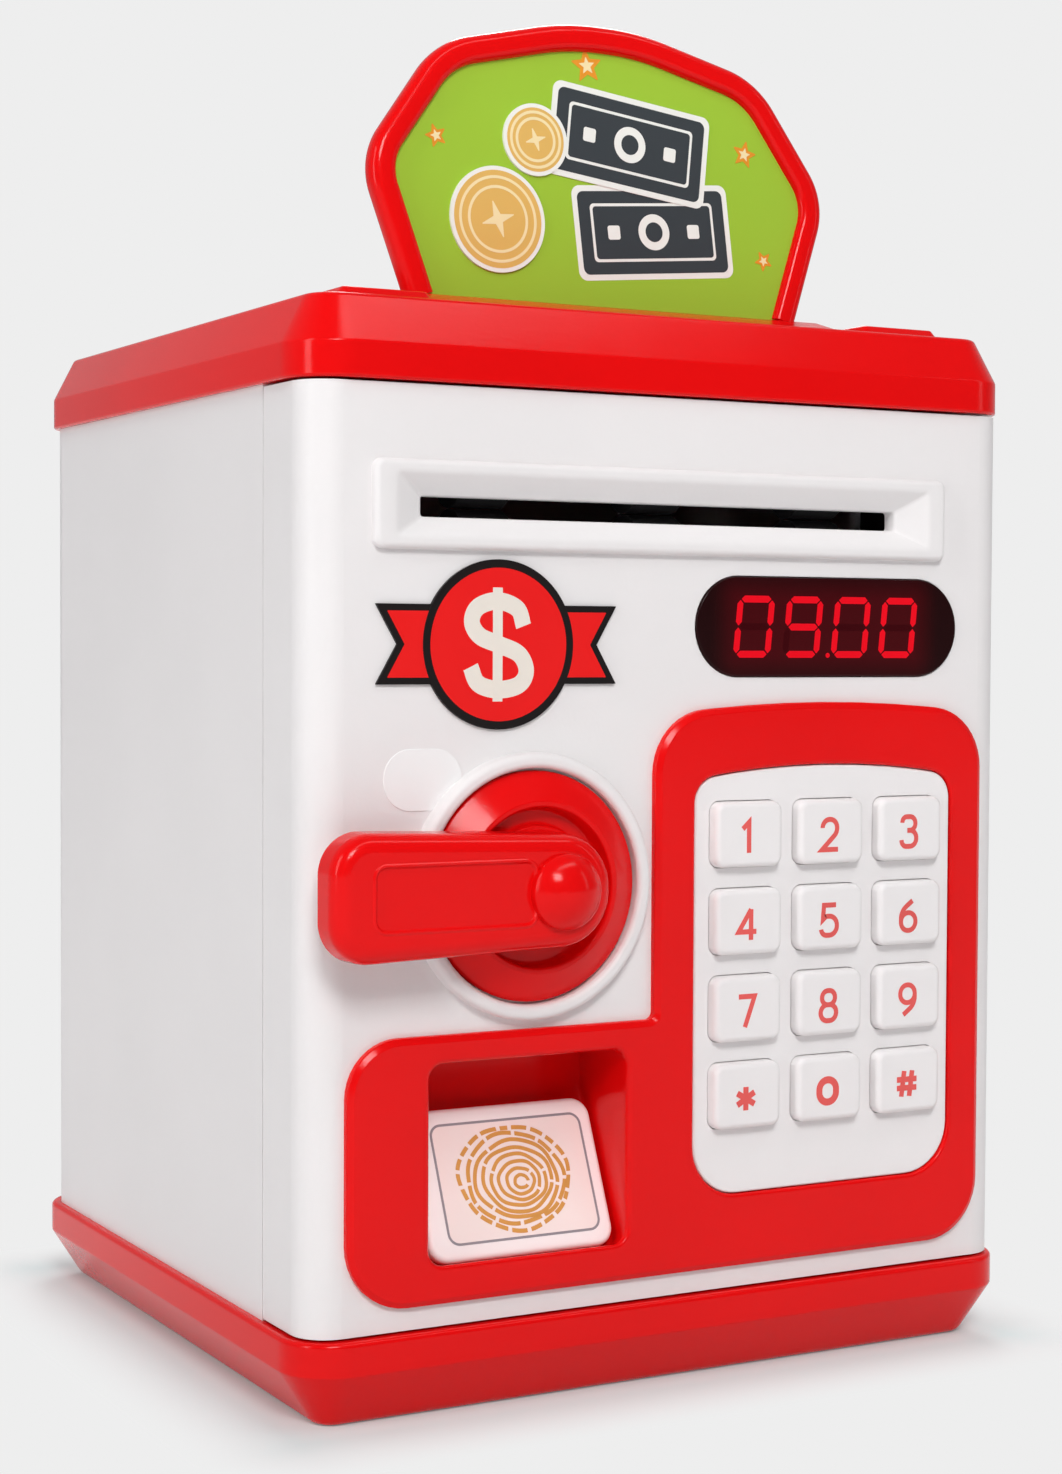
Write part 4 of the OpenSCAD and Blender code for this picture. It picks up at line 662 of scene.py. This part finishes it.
funnel_rings = [
    slot_ring(50.9, 5.4, 1.2),
    slot_ring(50.45, 5.0, 1.0),
    slot_ring(50.0, 4.65),
    slot_ring(49.6, 4.35),
    slot_ring(45.35, 1.85, shift=0.25),
    slot_ring(45.05, 1.68, shift=0.25),
    slot_ring(44.95, 1.6, shift=0.25),
    slot_ring(44.95, 1.6, shift=0.25),
]
funnel_depths = [bezel_front + inward for inward in (0, 0.06, 0.22, 0.46)]
funnel_depths += [funnel_back + inward for inward in (-0.3, -0.08, 0.2)] + [collar_back]
collar = rounded(rectangle(50.3, 5.7, slot_middle), 0.8)
bezel = Moulding(FRONT)
bezel_section = edge([(0, bezel_back), (0, bezel_front), (-1.35, bezel_front)], [0, 1.0, 0], 8)
bezel.block(bezel_outline, bezel_section, [collar[0]], [funnel_rings[0]])
bezel.skin(funnel_rings, funnel_depths)
bezel.wall(collar, [(0, collar_back), (0, bezel_back)])
bezel.face(collar_back, collar[0], [funnel_rings[-1]])
bezel.make("note_bezel", [white_plastic], "door", "white_plastic", "slot_bezel")


# The red panel is one glossy moulding on the door's face. Its tall part frames the
# keypad under an arched top, and its low part holds a pocket that leans back.
panel_front = -63.0
arch_rise = 2.1
arch_radii = [60] * 7


def arch(left, right, top, margin):
    """Points of an arched top edge, right to left: a parabola that rises between its corners."""
    share = np.linspace(1 - margin, margin, 7)
    height = top + arch_rise * 4 * share * (1 - share)
    return np.stack([left + (right - left) * share, height], axis=-1).tolist()


panel_left, panel_right, panel_top = -5.6, 60.4, 109.7
low_left, low_top, panel_low = -60.2, 60.5, 18.5
plate_left, plate_right, plate_low, plate_top = 1.95, 53.6, 30.7, 99.2
panel_corners = [
    (panel_right, panel_low),
    (panel_right, panel_top),
    *arch(panel_left, panel_right, panel_top, 0.16),
    (panel_left, panel_top),
    (panel_left, low_top),
    (low_left, low_top),
    (low_left, panel_low),
]
panel_outline = rounded(panel_corners, [10.5, 10.5, *arch_radii, 10.5, 1.2, 9.0, 10.5], 10)
plate_corners = [
    (plate_right, plate_low),
    (plate_right, plate_top),
    *arch(plate_left, plate_right, plate_top, 0.14),
    (plate_left, plate_top),
    (plate_left, plate_low),
]
plate_outline = rounded(plate_corners, [8.5, 4.5, *arch_radii, 4.5, 8.5], 10)

pad_lean = math.radians(24)
pad_foot = np.array((-60.8, 24.3))
pad_rise = np.array((math.sin(pad_lean), math.cos(pad_lean)))
pad_in = np.array((math.cos(pad_lean), -math.sin(pad_lean)))
mouth_left, mouth_right, mouth_top = -46.2, -10.7, 56.1
mouth_r = 1.0
pocket_back = -47.2
pocket_corner = 2.5
pocket_wall = 1.0
sill = pad_foot - 0.4 * pad_rise
sill_end = sill + 3.1 * pad_in


def pocket_ring(depth, grow=0.0):
    """The pocket's outline at a depth, drawn out by its wall or by the rounding at its mouth.

    Its floor goes down the sill, then up the slope behind the finger pad.
    """
    if depth < sill_end[0]:
        floor = sill[1] + (depth - sill[0]) * pad_in[1] / pad_in[0]
    else:
        floor = sill_end[1] + (depth - sill_end[0]) * pad_rise[1] / pad_rise[0]
    corners = [
        (mouth_right, floor),
        (mouth_right, mouth_top),
        (mouth_left, mouth_top),
        (mouth_left, floor),
    ]
    return grown(rounded(corners, pocket_corner), grow)


mouth_turn = np.linspace(0, np.pi / 2, 7)
mouth_grow = mouth_r * (1 - np.sin(mouth_turn))
mouth_depth = panel_front + mouth_r * (1 - np.cos(mouth_turn))
sill_bend = [sill_end[0] - 0.3, sill_end[0] + 0.3]
pocket_depths = [*mouth_depth, -61.0, -59.5, *sill_bend, -55.5, -52.5, pocket_back]
pocket_grows = [*mouth_grow] + [0.0] * 7
pocket_rings = [pocket_ring(depth, grow) for depth, grow in zip(pocket_depths, pocket_grows)]
shell_depths = [door_face, sill_end[0], -55.5, pocket_back + pocket_wall]
shell_rings = [pocket_ring(depth, pocket_wall) for depth in shell_depths]
panel = Moulding(FRONT)
panel_section = edge(
    [(0, door_face), (0, panel_front + 0.6), (-1.0, panel_front), (-2, panel_front)],
    [0, 0.4, 0.4, 0],
    6,
)
panel.block(
    panel_outline,
    panel_section,
    [grown(plate_outline, 0.15), shell_rings[0]],
    [grown(plate_outline, 1.2), pocket_rings[0]],
)
opening_section = [(1.2, panel_front), (0.15, panel_front), (0.15, door_face)]
panel.wall(plate_outline, edge(opening_section, [0, 0.6, 0]))
panel.skin(pocket_rings, pocket_depths)
panel.face(pocket_back, pocket_rings[-1])
panel.skin(shell_rings, shell_depths)
panel.face(pocket_back + pocket_wall, shell_rings[-1])
panel.make("red_panel_skin", [red_plastic], "door", "red_plastic", "red_panel")


# The finger pad is a pale tile that leans back in the pocket and sinks a little
# under a fingertip. A thin grey line runs round its face, with a ridge print in it.
pad_plastic = moulded("pad_plastic", srgb(252, 243, 242), 0.36, drift=0.01, grain=0.03)
pad_field = moulded("pad_field", srgb(249, 232, 228), 0.36, drift=0.015, grain=0.03)
pad_line = printed("pad_line", srgb(150, 142, 148), 0.05, 0.4)
ridge_ink = printed("ridge_ink", srgb(216, 154, 80), 0.10, 0.4)
pad_view = ((1, 0, 0), (0, *pad_rise), (0, *pad_in))
tile_t = 2
stem_r = 2.5
stem_end = 4.5
tile_outline = rounded(rectangle(16.6, 12.3, (0, 12.3)), 3.2)
stem = ring((0, 8), 40)
finger_tile = Moulding(pad_view, (-28.0, *pad_foot))
tile_section = step(-1.8, 0, tile_t, -1.0, (0.9, 0.4), 6)
finger_tile.block(tile_outline, tile_section, last_holes=[grown(stem, stem_r)])
finger_tile.wall(stem, edge([(stem_r, tile_t), (stem_r, stem_end), (0, stem_end)], [0, 0.4, 0]))
field_outline = rounded(rectangle(13.6, 9.6, (0.6, 12.3)), 1.8)
finger_tile.plate(field_outline, 0, -0.02, paint=1)
finger_tile.stroke(field_outline, 0.4, 0, -0.04, closed=True, paint=2)

print_middle = np.array((0.45, 12.4))
ridge_dashes = (21, 12, 3, 2, 2, 1, 1, 1)
ridge_gaps = (0.62, 0.55, 0.5, 0.45, 0.45, 0.45, 0.45, 0.7)
seeded = np.random.default_rng(7)
for turn, (dashes, gap) in enumerate(zip(ridge_dashes, ridge_gaps)):
    long_r = 9.9 - 1.24 * turn
    short_r = 8.4 - 1.05 * turn
    ridge_w = 0.70 - 0.02 * turn
    middle = print_middle + np.array((0.16, -0.11)) * turn
    starts = np.arange(dashes) + seeded.uniform(-0.16, 0.16, dashes)
    starts = np.sort(starts * 2 * np.pi / dashes)
    stops = np.roll(starts, -1)
    stops[-1] += 2 * np.pi
    for start, stop in zip(starts, stops):
        angle = np.linspace(start, stop - gap / short_r, 8 + int(10 * (stop - start)))
        wave = 1 + 0.022 * np.sin(3 * angle + 2.2 * turn) + 0.012 * np.sin(7 * angle + 1.3 * turn)
        around = np.stack([np.cos(angle), np.sin(angle)], axis=-1)
        line = middle + around * (long_r, short_r) * wave[:, None]
        normals = around * (short_r, long_r)
        normals /= np.linalg.norm(normals, axis=1, keepdims=True)
        finger_tile.stroke((line, normals), ridge_w, 0, -0.06, paint=3)
tile_paints = [pad_plastic, pad_field, pad_line, ridge_ink]
finger_tile.make("finger_tile", tile_paints, "finger_pad", "pad_plastic", "finger_pad")


# The keypad is a white plate let into the red panel, with twelve soft-edged keys
# that rise through it. Each key carries one printed character.
plate_front = -62.6
key_columns = (11.3, 27.65, 44.0)
key_rows = (90.175, 75.825, 61.475, 47.125)
key_front = -64.8
flange_back = -60.4
flange_front = -61.2
key_plastic = moulded("key_plastic", srgb(236, 233, 233), 0.40, drift=0.012)
key_ink = printed("key_ink", srgb(226, 92, 88), 0.06, 0.45)

key_plate = Moulding(FRONT)
holes = [rounded(rectangle(6.69, 5.54, (x, z)), 1.89) for x in key_columns for z in key_rows]
key_plate.block(
    plate_outline,
    step(-1, door_face, plate_front, -1, (0.1, 0.4)),
    [grown(hole, 0.2) for hole in holes],
    [grown(hole, 0.3) for hole in holes],
)
for hole in holes:
    key_plate.wall(hole, step(0.3, plate_front, door_face, 0.2, (0.08, 0.05)))
key_plate.make("key_plate", [key_plastic], "door", "key_plastic", "keypad_plate")

# Strokes of each character: corners and radii in units of its height, and True if it is closed
hook = [(-0.29, 0.72), (-0.29, 1.0), (0.29, 1.0), (0.29, 0.56), (-0.31, 0.0), (0.33, 0.0)]
upper_hook = [(-0.28, 0.80), (-0.27, 1.0), (0.26, 1.0), (0.26, 0.54), (-0.07, 0.54)]
lower_hook = [(-0.07, 0.54), (0.30, 0.54), (0.30, 0.0), (-0.29, 0.0), (-0.31, 0.22)]
flag = [(0.27, 1.0), (-0.21, 1.0), (-0.25, 0.52), (-0.12, 0.63)]
belly = [(0.31, 0.63), (0.31, 0.0), (-0.29, 0.0), (-0.32, 0.2)]
spoke_angles = np.radians((90, 30, -30))
spokes = [0.42 * np.array((math.cos(angle), math.sin(angle))) for angle in spoke_angles]
hub = np.array((0, 0.5))
characters = {
    "1": [([(-0.19, 0.78), (0.05, 1.0), (0.05, 0.0)], 0)],
    "2": [(hook, [0, 0.28, 0.28, 0.34, 0, 0])],
    "3": [(upper_hook, [0, 0.18, 0.22, 0.22, 0]), (lower_hook, [0, 0.26, 0.26, 0.2, 0])],
    "4": [([(0.15, 1.0), (-0.33, 0.27), (0.36, 0.27)], 0), ([(0.15, 0.0), (0.15, 1.0)], 0)],
    "5": [(flag + belly, [0, 0, 0, 0.1, 0.3, 0.3, 0.22, 0])],
    "6": [
        (rectangle(0.30, 0.30, (0, 0.30)), 0.29, True),
        ([(0.17, 1.0), (-0.30, 0.66), (-0.30, 0.28)], [0, 0.5, 0]),
    ],
    "7": [([(-0.30, 1.0), (0.31, 1.0), (-0.06, 0.0)], 0)],
    "8": [
        (rectangle(0.26, 0.235, (0, 0.765)), 0.23, True),
        (rectangle(0.31, 0.265, (0, 0.265)), 0.26, True),
    ],
    "9": [
        (rectangle(0.30, 0.30, (0, 0.70)), 0.29, True),
        ([(-0.17, 0.0), (0.30, 0.34), (0.30, 0.72)], [0, 0.5, 0]),
    ],
    "star": [([hub + spoke, hub - spoke], 0) for spoke in spokes],
    "0": [(rectangle(0.38, 0.42, (0, 0.5)), 0.37, True)],
    "hash": [([(x - 0.06, 0.05), (x + 0.06, 0.95)], 0) for x in (-0.17, 0.17)]
    + [([(-0.42, z), (0.42, z)], 0) for z in (0.35, 0.65)],
}
low_row = {"star": (4.6, 1.0), "0": (4.45, 1.2), "hash": (4.85, 0.95)}


def print_character(cap, character, middle):
    """Prints a character, each stroke a little over the last. The bottom row's are bolder."""
    height, width = low_row.get(character, (5.05, 0.84))
    for level, (corners, radii, *closed) in enumerate(characters[character]):
        corners = (np.asarray(corners, float) - (0, 0.5)) * height + middle
        path = rounded(corners, np.array(radii) * height, 10, bool(closed))
        front = key_front - 0.04 - 0.015 * level
        cap.stroke(path, width, key_front, front, bool(closed), paint=1)


key_section = edge(
    [
        (-1, flange_back),
        (0.7, flange_back),
        (0.7, flange_front),
        (0, flange_front),
        (-0.1, key_front),
        (-1.7, key_front),
    ],
    [0, 0.1, 0.1, 0.05, 0.95, 0],
    6,
)
for place, character in enumerate(characters):
    middle = np.array((key_columns[place % 3], key_rows[place // 3]))
    key_cap = Moulding(FRONT)
    key_cap.block(rounded(rectangle(6.6, 5.45, middle), 1.8), key_section)
    print_character(key_cap, character, middle - (0.55, 0.45))
    node = "key_" + character
    key_cap.make(node + "_cap", [key_plastic, key_ink], node, "key_plastic", node)


# The display is a dark red window with rounded ends, and behind it a block of four
# seven-segment digits. Lit segments glow through it. The unlit ones carry a faint painted
# glow, and the glass a painted glow of its own, strongest round the digits.
window_middle = np.array((28.9, 124.3))
window_front = -61.8
window_back = -59.2
digit_pitch = 9.75
digit_half = np.array((3.1, 4.55))
digit_slant = 0.10
digits_middle = window_middle - (0.6, 0.0)


def window_dress(place):
    """Dark red glass with a painted glow in colour and emission, fading with the distance from the
    four digits.
    """
    parts = place.node("SeparateXYZ", {}, {0: place}, "X")
    across = parts * (1 / MM) - float(digits_middle[0])
    upward = parts.also("Z") * (1 / MM) - float(digits_middle[1])
    beyond_x = across.math("ABSOLUTE") - (1.5 * digit_pitch + digit_half[0])
    beyond_z = upward.math("ABSOLUTE") - float(digit_half[1])
    beyond_x = beyond_x.math("MAXIMUM", 0.0)
    beyond_z = beyond_z.math("MAXIMUM", 0.0)
    near = (beyond_x * beyond_x + beyond_z * beyond_z).math("SQRT")
    painted_glow = 1 - near.between(-2.0, 6.0)
    return {
        "Base Color": painted_glow.mix(srgb(20, 3, 4), srgb(40, 3, 6)),
        "Roughness": 0.16 + 0.08 * place.noise(120.0),
        "Emission Color": painted_glow.mix(srgb(26, 2, 3), srgb(76, 2, 9)),
    }


def lit_dress(place):
    """Red light that hardly varies along a segment."""
    return {
        "Base Color": place.noise(40.0).mix(srgb(150, 4, 14), srgb(160, 6, 18)),
        "Emission Color": place.noise(300.0).mix(srgb(228, 4, 26), srgb(240, 10, 34)),
    }


window_glass = finish("window_glass", window_dress, emission_strength=0.6, specular_ior_level=0.12)
lit = finish(
    "lit_segment", lit_dress, emission_strength=0.62, roughness=0.3, specular_ior_level=0.1
)
# Unlit segments get a faint painted glow, so that they show dimly in the dark glass.
unlit_painted_glow = {"emission_color": srgb(58, 2, 7), "emission_strength": 0.6}
unlit = moulded(
    "unlit_segment", srgb(36, 3, 6), 0.3, grain=0.0, specular_ior_level=0.05, **unlit_painted_glow
)
window = Moulding(FRONT)
window_outline = rounded(rectangle(26.4, 8.25, window_middle), 8.2, 20)
window.block(window_outline, step(-1, window_back, window_front, -1, (0.1, 0.3)))

# Each segment's middle in units of the digit's half size. Those at a side stand upright
segments = [(0, 1), (0, 0), (0, -1), (-1, 0.5), (1, 0.5), (-1, -0.5), (1, -0.5)]
unlit_in = {"0": (0, 0), "9": (-1, -0.5)}
segment_half = 0.575
digit_front = window_front - 0.02
for place, digit in enumerate("0900"):
    middle = digits_middle + ((place - 1.5) * digit_pitch, 0)
    for segment in segments:
        upright = segment[0] != 0
        half = (digit_half[1] / 2 if upright else digit_half[0]) - 0.2
        tip = half - segment_half
        corners = [(half, -0.05), (half, 0.05), (tip, segment_half), (-tip, segment_half)]
        bar = np.array(corners + [(-x, -z) for x, z in corners])
        if upright:
            bar = bar[:, ::-1] * (-1, 1)
        bar = bar + np.array(segment) * digit_half
        bar[:, 0] += digit_slant * bar[:, 1]
        paint = 2 if segment == unlit_in[digit] else 1
        window.plate(rounded(bar + middle, 0.06, 2), window_front, digit_front, paint=paint)
point = disc(digits_middle + (0.15, -4.7), 0.42, 24)
window.plate(point, window_front, digit_front, paint=1)
window.make("display_glass", [window_glass, lit, unlit], "door", "dark_window", "display_window")


# The badge is a thin printed plate: a red disc over a ribbon with forked ends, all
# edged in black, with a plain currency sign in bone white.
badge_middle = np.array((-34.0, 121.15))
badge_front = -61.9
badge_line = 1.3
ribbon_line = 1.05
badge_r = 13.3
ribbon_reach = 21.2
ribbon_half = 6.2
fork = 3.6
badge_ink = printed("badge_ink", srgb(16, 8, 9), 0.05)
badge_red = printed("badge_red", srgb(232, 20, 20), 0.02, 0.40)
bone_ink = printed("bone_ink", srgb(232, 224, 214), 0.01)
badge = Moulding(FRONT)


def ribbon(margin):
    """One end of the ribbon, drawn in by a margin; its inner end runs under the disc."""
    reach = ribbon_reach - margin * 1.75
    half = ribbon_half - margin
    tip = ribbon_reach - fork - margin * 1.15
    return np.array([(5, -half), (reach, -half), (tip, 0), (reach, half), (5, half)])


def print_badge(outline, lift, paint, rim=0.0):
    """Prints a shape on the badge, at a height over its face."""
    badge.plate(outline, door_face, badge_front - lift, rim, paint)


for side in (-1, 1):
    for margin, lift, paint in ((0.0, 0.0, 0), (ribbon_line, 0.03, 1)):
        shape = (ribbon(margin) * (side, 1))[::side]
        print_badge(rounded(shape + badge_middle, 0.08, 2), lift, paint)
print_badge(disc(badge_middle, badge_r, 128), 0.05, 0, rim=0.05)
print_badge(disc(badge_middle, badge_r - badge_line, 128), 0.08, 1)


def flowing(knots, steps=10):
    """A smooth line through knots: each cubic leaves a knot along its neighbours' line."""
    knots = np.asarray(knots, float)
    ends = np.concatenate([2 * knots[:1] - knots[1:2], knots, 2 * knots[-1:] - knots[-2:-1]])
    share = np.linspace(0, 1, steps, endpoint=False)[None, :, None]
    a, b, c, d = (ends[i:len(ends) - 3 + i, None] for i in range(4))
    bend = 2 * a - 5 * b + 4 * c - d
    line = b + 0.5 * share * (c - a + share * (bend + share * (3 * b - 3 * c + d - a)))
    line = np.concatenate([line.reshape(-1, 2), knots[-1:]])
    slope = np.gradient(line, axis=0)
    slope /= np.linalg.norm(slope, axis=1, keepdims=True)
    return line, slope @ np.array([[0, -1], [1, 0]])


money_knots = [(4.6, 2.9), (3.5, 5.6), (0, 6.8), (-3.4, 5.85), (-4.55, 3.6), (-3.2, 1.35), (0.2, 0)]
money_knots += [(3.8, -1.5), (5.1, -4.1), (3.8, -6.3), (0.1, -7.05), (-3.4, -6.1), (-4.75, -3.5)]
money_middle = badge_middle - (0.3, 0)
money_path = flowing(money_knots + money_middle)
badge.stroke(money_path, 2.75, door_face, badge_front - 0.11, paint=2)
print_badge(rounded(rectangle(0.85, 8.9, money_middle), 0.05, 2), 0.14, 2)
badge.make("badge_plate", [badge_ink, badge_red, bone_ink], "door", "red_plastic", "badge")


# The dial is a red turned form on the lock's shaft: a leaning rim, a crest, a deep
# groove and a hub. The lever crosses it, held by a screw under a round domed cap.
dial_back = -61.2
dial_groove = -62.6
dial_crest = -65.4
hub_step = -64.2
lever_back = -66.4
lever_front = -72.9
dial_form = Moulding(FRONT)
dial_section = edge(
    [
        (0, dial_back),
        (18.3, dial_back),
        (18.3, dial_groove),
        (13.6, dial_crest),
        (12.7, dial_crest),
        (12.3, dial_groove),
        (9.9, dial_groove),
        (9.6, hub_step),
        (9.05, hub_step),
        (9.0, lever_back),
        (0, lever_back),
    ],
    [0, 0.2, 0.7, 0.5, 0.4, 0.5, 0.4, 0.25, 0.1, 0.3, 0],
    6,
)
dial_form.wall(ring(dial, 128), dial_section)
dial_form.make("dial_form", [red_plastic], "handle", "red_plastic", "dial")

lever_corners = np.array([(9.0, -8.73), (9.0, 8.73), (-39, 10.2), (-39, -10.2)]) + dial
lever_outline = rounded(lever_corners, [8.65, 8.65, 6.5, 6.5], 18)
inset_outline = rounded(rectangle(13.4, 4.7, np.array(dial) - (18.6, 0)), 1.6)
inset_floor = lever_front + 0.25
inset_line = lever_front - 0.18
lever_arm = Moulding(FRONT)
lever_section = edge(
    [(-2, lever_back), (0, lever_back), (-0.25, lever_front), (-3.3, lever_front)],
    [0, 0.6, 2.7, 0],
    9,
)
lever_arm.block(lever_outline, lever_section, last_holes=[grown(inset_outline, 0.9)])
inset_section = edge(
    [
        (0.9, lever_front),
        (0.68, lever_front),
        (0.44, inset_line),
        (0.2, inset_line),
        (-0.15, inset_floor),
        (-0.5, inset_floor),
    ],
    [0, 0.1, 0.12, 0.12, 0.15, 0],
    support=0.02,
)
lever_arm.wall(inset_outline, inset_section)
lever_arm.face(inset_floor, grown(inset_outline, -0.5))
lever_arm.make("lever_arm", [red_plastic], "handle", "red_plastic", "lever")

cap_r = 5.9
cap_foot = -72.4
cap_skirt = -73.9
cap_top = -76.9
cap_rise = cap_skirt - cap_top
ball_r = (cap_r**2 + cap_rise**2) / (2 * cap_rise)
dome = np.linspace(math.asin(cap_r / ball_r) * 0.93, 0, 16)
dome_section = np.stack([ball_r * np.sin(dome), cap_top + ball_r * (1 - np.cos(dome))], axis=-1)
skirt_section = [(0, cap_foot), (cap_r, cap_foot), (cap_r, cap_skirt), dome_section[0]]
cap_section = np.concatenate([edge(skirt_section, [0, 0.1, 0.5, 0]), dome_section[1:]])
cap = Moulding(FRONT)
cap.wall(ring(dial, 96), cap_section)
cap.make("lever_cap_dome", [red_plastic], "handle", "red_plastic", "lever_cap")


# The parts inside keep their CAD shapes: plated steel pins, screws, shafts and
# motor, black rollers, white gears, brass pinion, boards and the battery cells.
def plated(name, colour, roughness):
    """Plated or plain metal: its gloss varies with fine drawing marks and a little tarnish."""

    def dress(place):
        marks = place.noise(900.0, 4.0)
        tarnish = place.noise(90.0)
        bump = {"Strength": 0.08, "Distance": 0.0001, "Height": marks}
        return {
            "Base Color": tarnish.between(0.35, 0.75).mix(colour, scaled(colour, 0.82)),
            "Roughness": roughness + 0.16 * (marks - 0.5),
            "Normal": place.node("Bump", {}, bump),
        }

    return finish(name, dress, metallic=1.0)


steel = plated("steel", srgb(196, 198, 202), 0.28)
brass = plated("brass", srgb(206, 170, 96), 0.30)
black_plastic = moulded("black_plastic", srgb(30, 30, 33), 0.42, 0.06)
# The feed frame is coloured darker than the other black plastic: painted shade for the deep slot it
# is seen through.
feed_plastic_with_painted_shade = moulded("feed_plastic_with_painted_shade", srgb(13, 11, 12), 0.6, 0.06, specular_ior_level=0.1)
black_rubber = moulded("black_rubber", srgb(36, 35, 36), 0.72, 0.08, grain=0.2)
grey_rubber = moulded("grey_rubber", srgb(176, 176, 178), 0.66, 0.03, grain=0.15)
gear_plastic = moulded("gear_plastic", srgb(226, 224, 214), 0.40, 0.02)
board = moulded("board", srgb(28, 92, 54), 0.36, 0.08)
cell_jacket = moulded("cell_jacket", srgb(196, 142, 60), 0.26, 0.05, grain=0.01)
finishes = {
    steel: (
        "hinge_pins latch_strike case_screws lid_screws cover_screws handle_screws latch_arm "
        "lock_plunger upper_feed_shaft lower_feed_shaft motor_shaft feed_motor battery_contacts"
    ),
    brass: "motor_pinion",
    black_plastic: "display_block speaker lock_solenoid pad_switch",
    feed_plastic_with_painted_shade: "feed_frame",
    black_rubber: "upper_tyres lower_tyres",
    grey_rubber: "keypad_membrane",
    gear_plastic: "upper_gear lower_gear idler_gear",
    board: "keypad_board",
    cell_jacket: "battery_cells",
    white_plastic: "inner_cover battery_box battery_cover",
}
for material, nodes in finishes.items():
    for node in nodes.split():
        clad(node, material)


# The safe stands on a pale studio floor under soft light: a strong lamp in front, weaker
# ones left and right, a long one overhead for the bevels, one behind, and a dim world.
studio_tone = srgb(238, 238, 238)
base_half = (0.068, 0.063, 0)
floor = placed("floor", bpy.data.meshes.new("floor"))
floor.data.from_pydata([(-4, -4, 0), (4, -4, 0), (4, 4, 0), (-4, 4, 0)], [], [(0, 1, 2, 3)])
floor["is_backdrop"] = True
floor_material = bpy.data.materials.new("floor")
start = emptied(floor_material)
beside = start.node("TexCoord", {}, {}, "Object").math("ABSOLUTE", kind="VectorMath")
beside = beside.math("SUBTRACT", base_half, kind="VectorMath")
beside = beside.math("MAXIMUM", (0, 0, 0), kind="VectorMath")
far = beside.math("LENGTH", kind="VectorMath", output="Value").between(-0.006, 0.018)
paths = start.node("LightPath", {}, {}, "Is Camera Ray")
seen = paths.math("MAXIMUM", paths.also("Is Glossy Ray"))
# Painted light: within about two centimetres of the base the floor's colour is tinted cyan, to
# cancel the red light that bounces onto it from the base.
painted_bounce_cancel_tone = far.mix(srgb(216, 236, 236), srgb(236, 236, 236))
lit_floor = start.node("BsdfDiffuse", {}, {"Color": painted_bounce_cancel_tone})
plain_floor = start.node("Emission", {}, {"Color": studio_tone, "Strength": 1.0})
surface = start.node("MixShader", {}, {0: far * seen, 1: lit_floor, 2: plain_floor})
start.node("OutputMaterial", {}, {"Surface": surface})
floor.data.materials.append(floor_material)

world = bpy.data.worlds.new("studio")
bpy.context.scene.world = world
start = emptied(world)
paths = start.node("LightPath", {}, {}, "Is Camera Ray")
direction = start.node("TexCoord", {}, {}, "Generated")
facing = direction.node("SeparateXYZ", {}, {0: direction}, "Y")
rear = facing.between(-0.35, 0.5)
straight = paths.math("MAXIMUM", paths.also("Is Transmission Ray"))
seen = straight.math("MAXIMUM", paths.also("Is Glossy Ray") * rear * 0.2)
room_tone = srgb(252, 252, 255)
room = start.node("Background", {}, {"Color": room_tone, "Strength": 0.13})
sweep = start.node("Background", {}, {"Color": room_tone, "Strength": 0.4})
ambient = start.node("MixShader", {}, {0: rear, 1: room, 2: sweep})
backdrop = start.node("Background", {}, {"Color": studio_tone, "Strength": 1.0})
surface = start.node("MixShader", {}, {0: seen, 1: ambient, 2: backdrop})
start.node("OutputWorld", {}, {"Surface": surface})

object_middle = Vector((0, 0, 0.1))


def lamp(name, place, size, watts):
    """A flat soft lamp that looks at the object's middle."""
    light = bpy.data.lights.new(name, "AREA")
    light.shape = "RECTANGLE"
    light.size, light.size_y = size
    light.energy = watts
    holder = placed(name, light)
    holder.location = place
    holder.rotation_euler = (object_middle - Vector(place)).to_track_quat("-Z", "Y").to_euler()


lamp("front_lamp", (-0.38, -1.0, 0.85), (0.36, 0.36), 8.7)
lamp("left_lamp", (-1.1, -0.3, 0.5), (0.25, 0.9), 4.0)
lamp("right_lamp", (1.0, -0.7, 0.5), (0.12, 0.8), 0.6)
lamp("top_lamp", (0.2, -0.52, 1.0), (0.95, 0.12), 1.9)
lamp("rear_lamp", (0.6, 1.0, 1.1), (0.5, 0.5), 7.0)

bpy.context.scene.view_settings.view_transform = "Standard"
corners = [[list(corner) for corner in box] for box in (cad_box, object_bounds())]
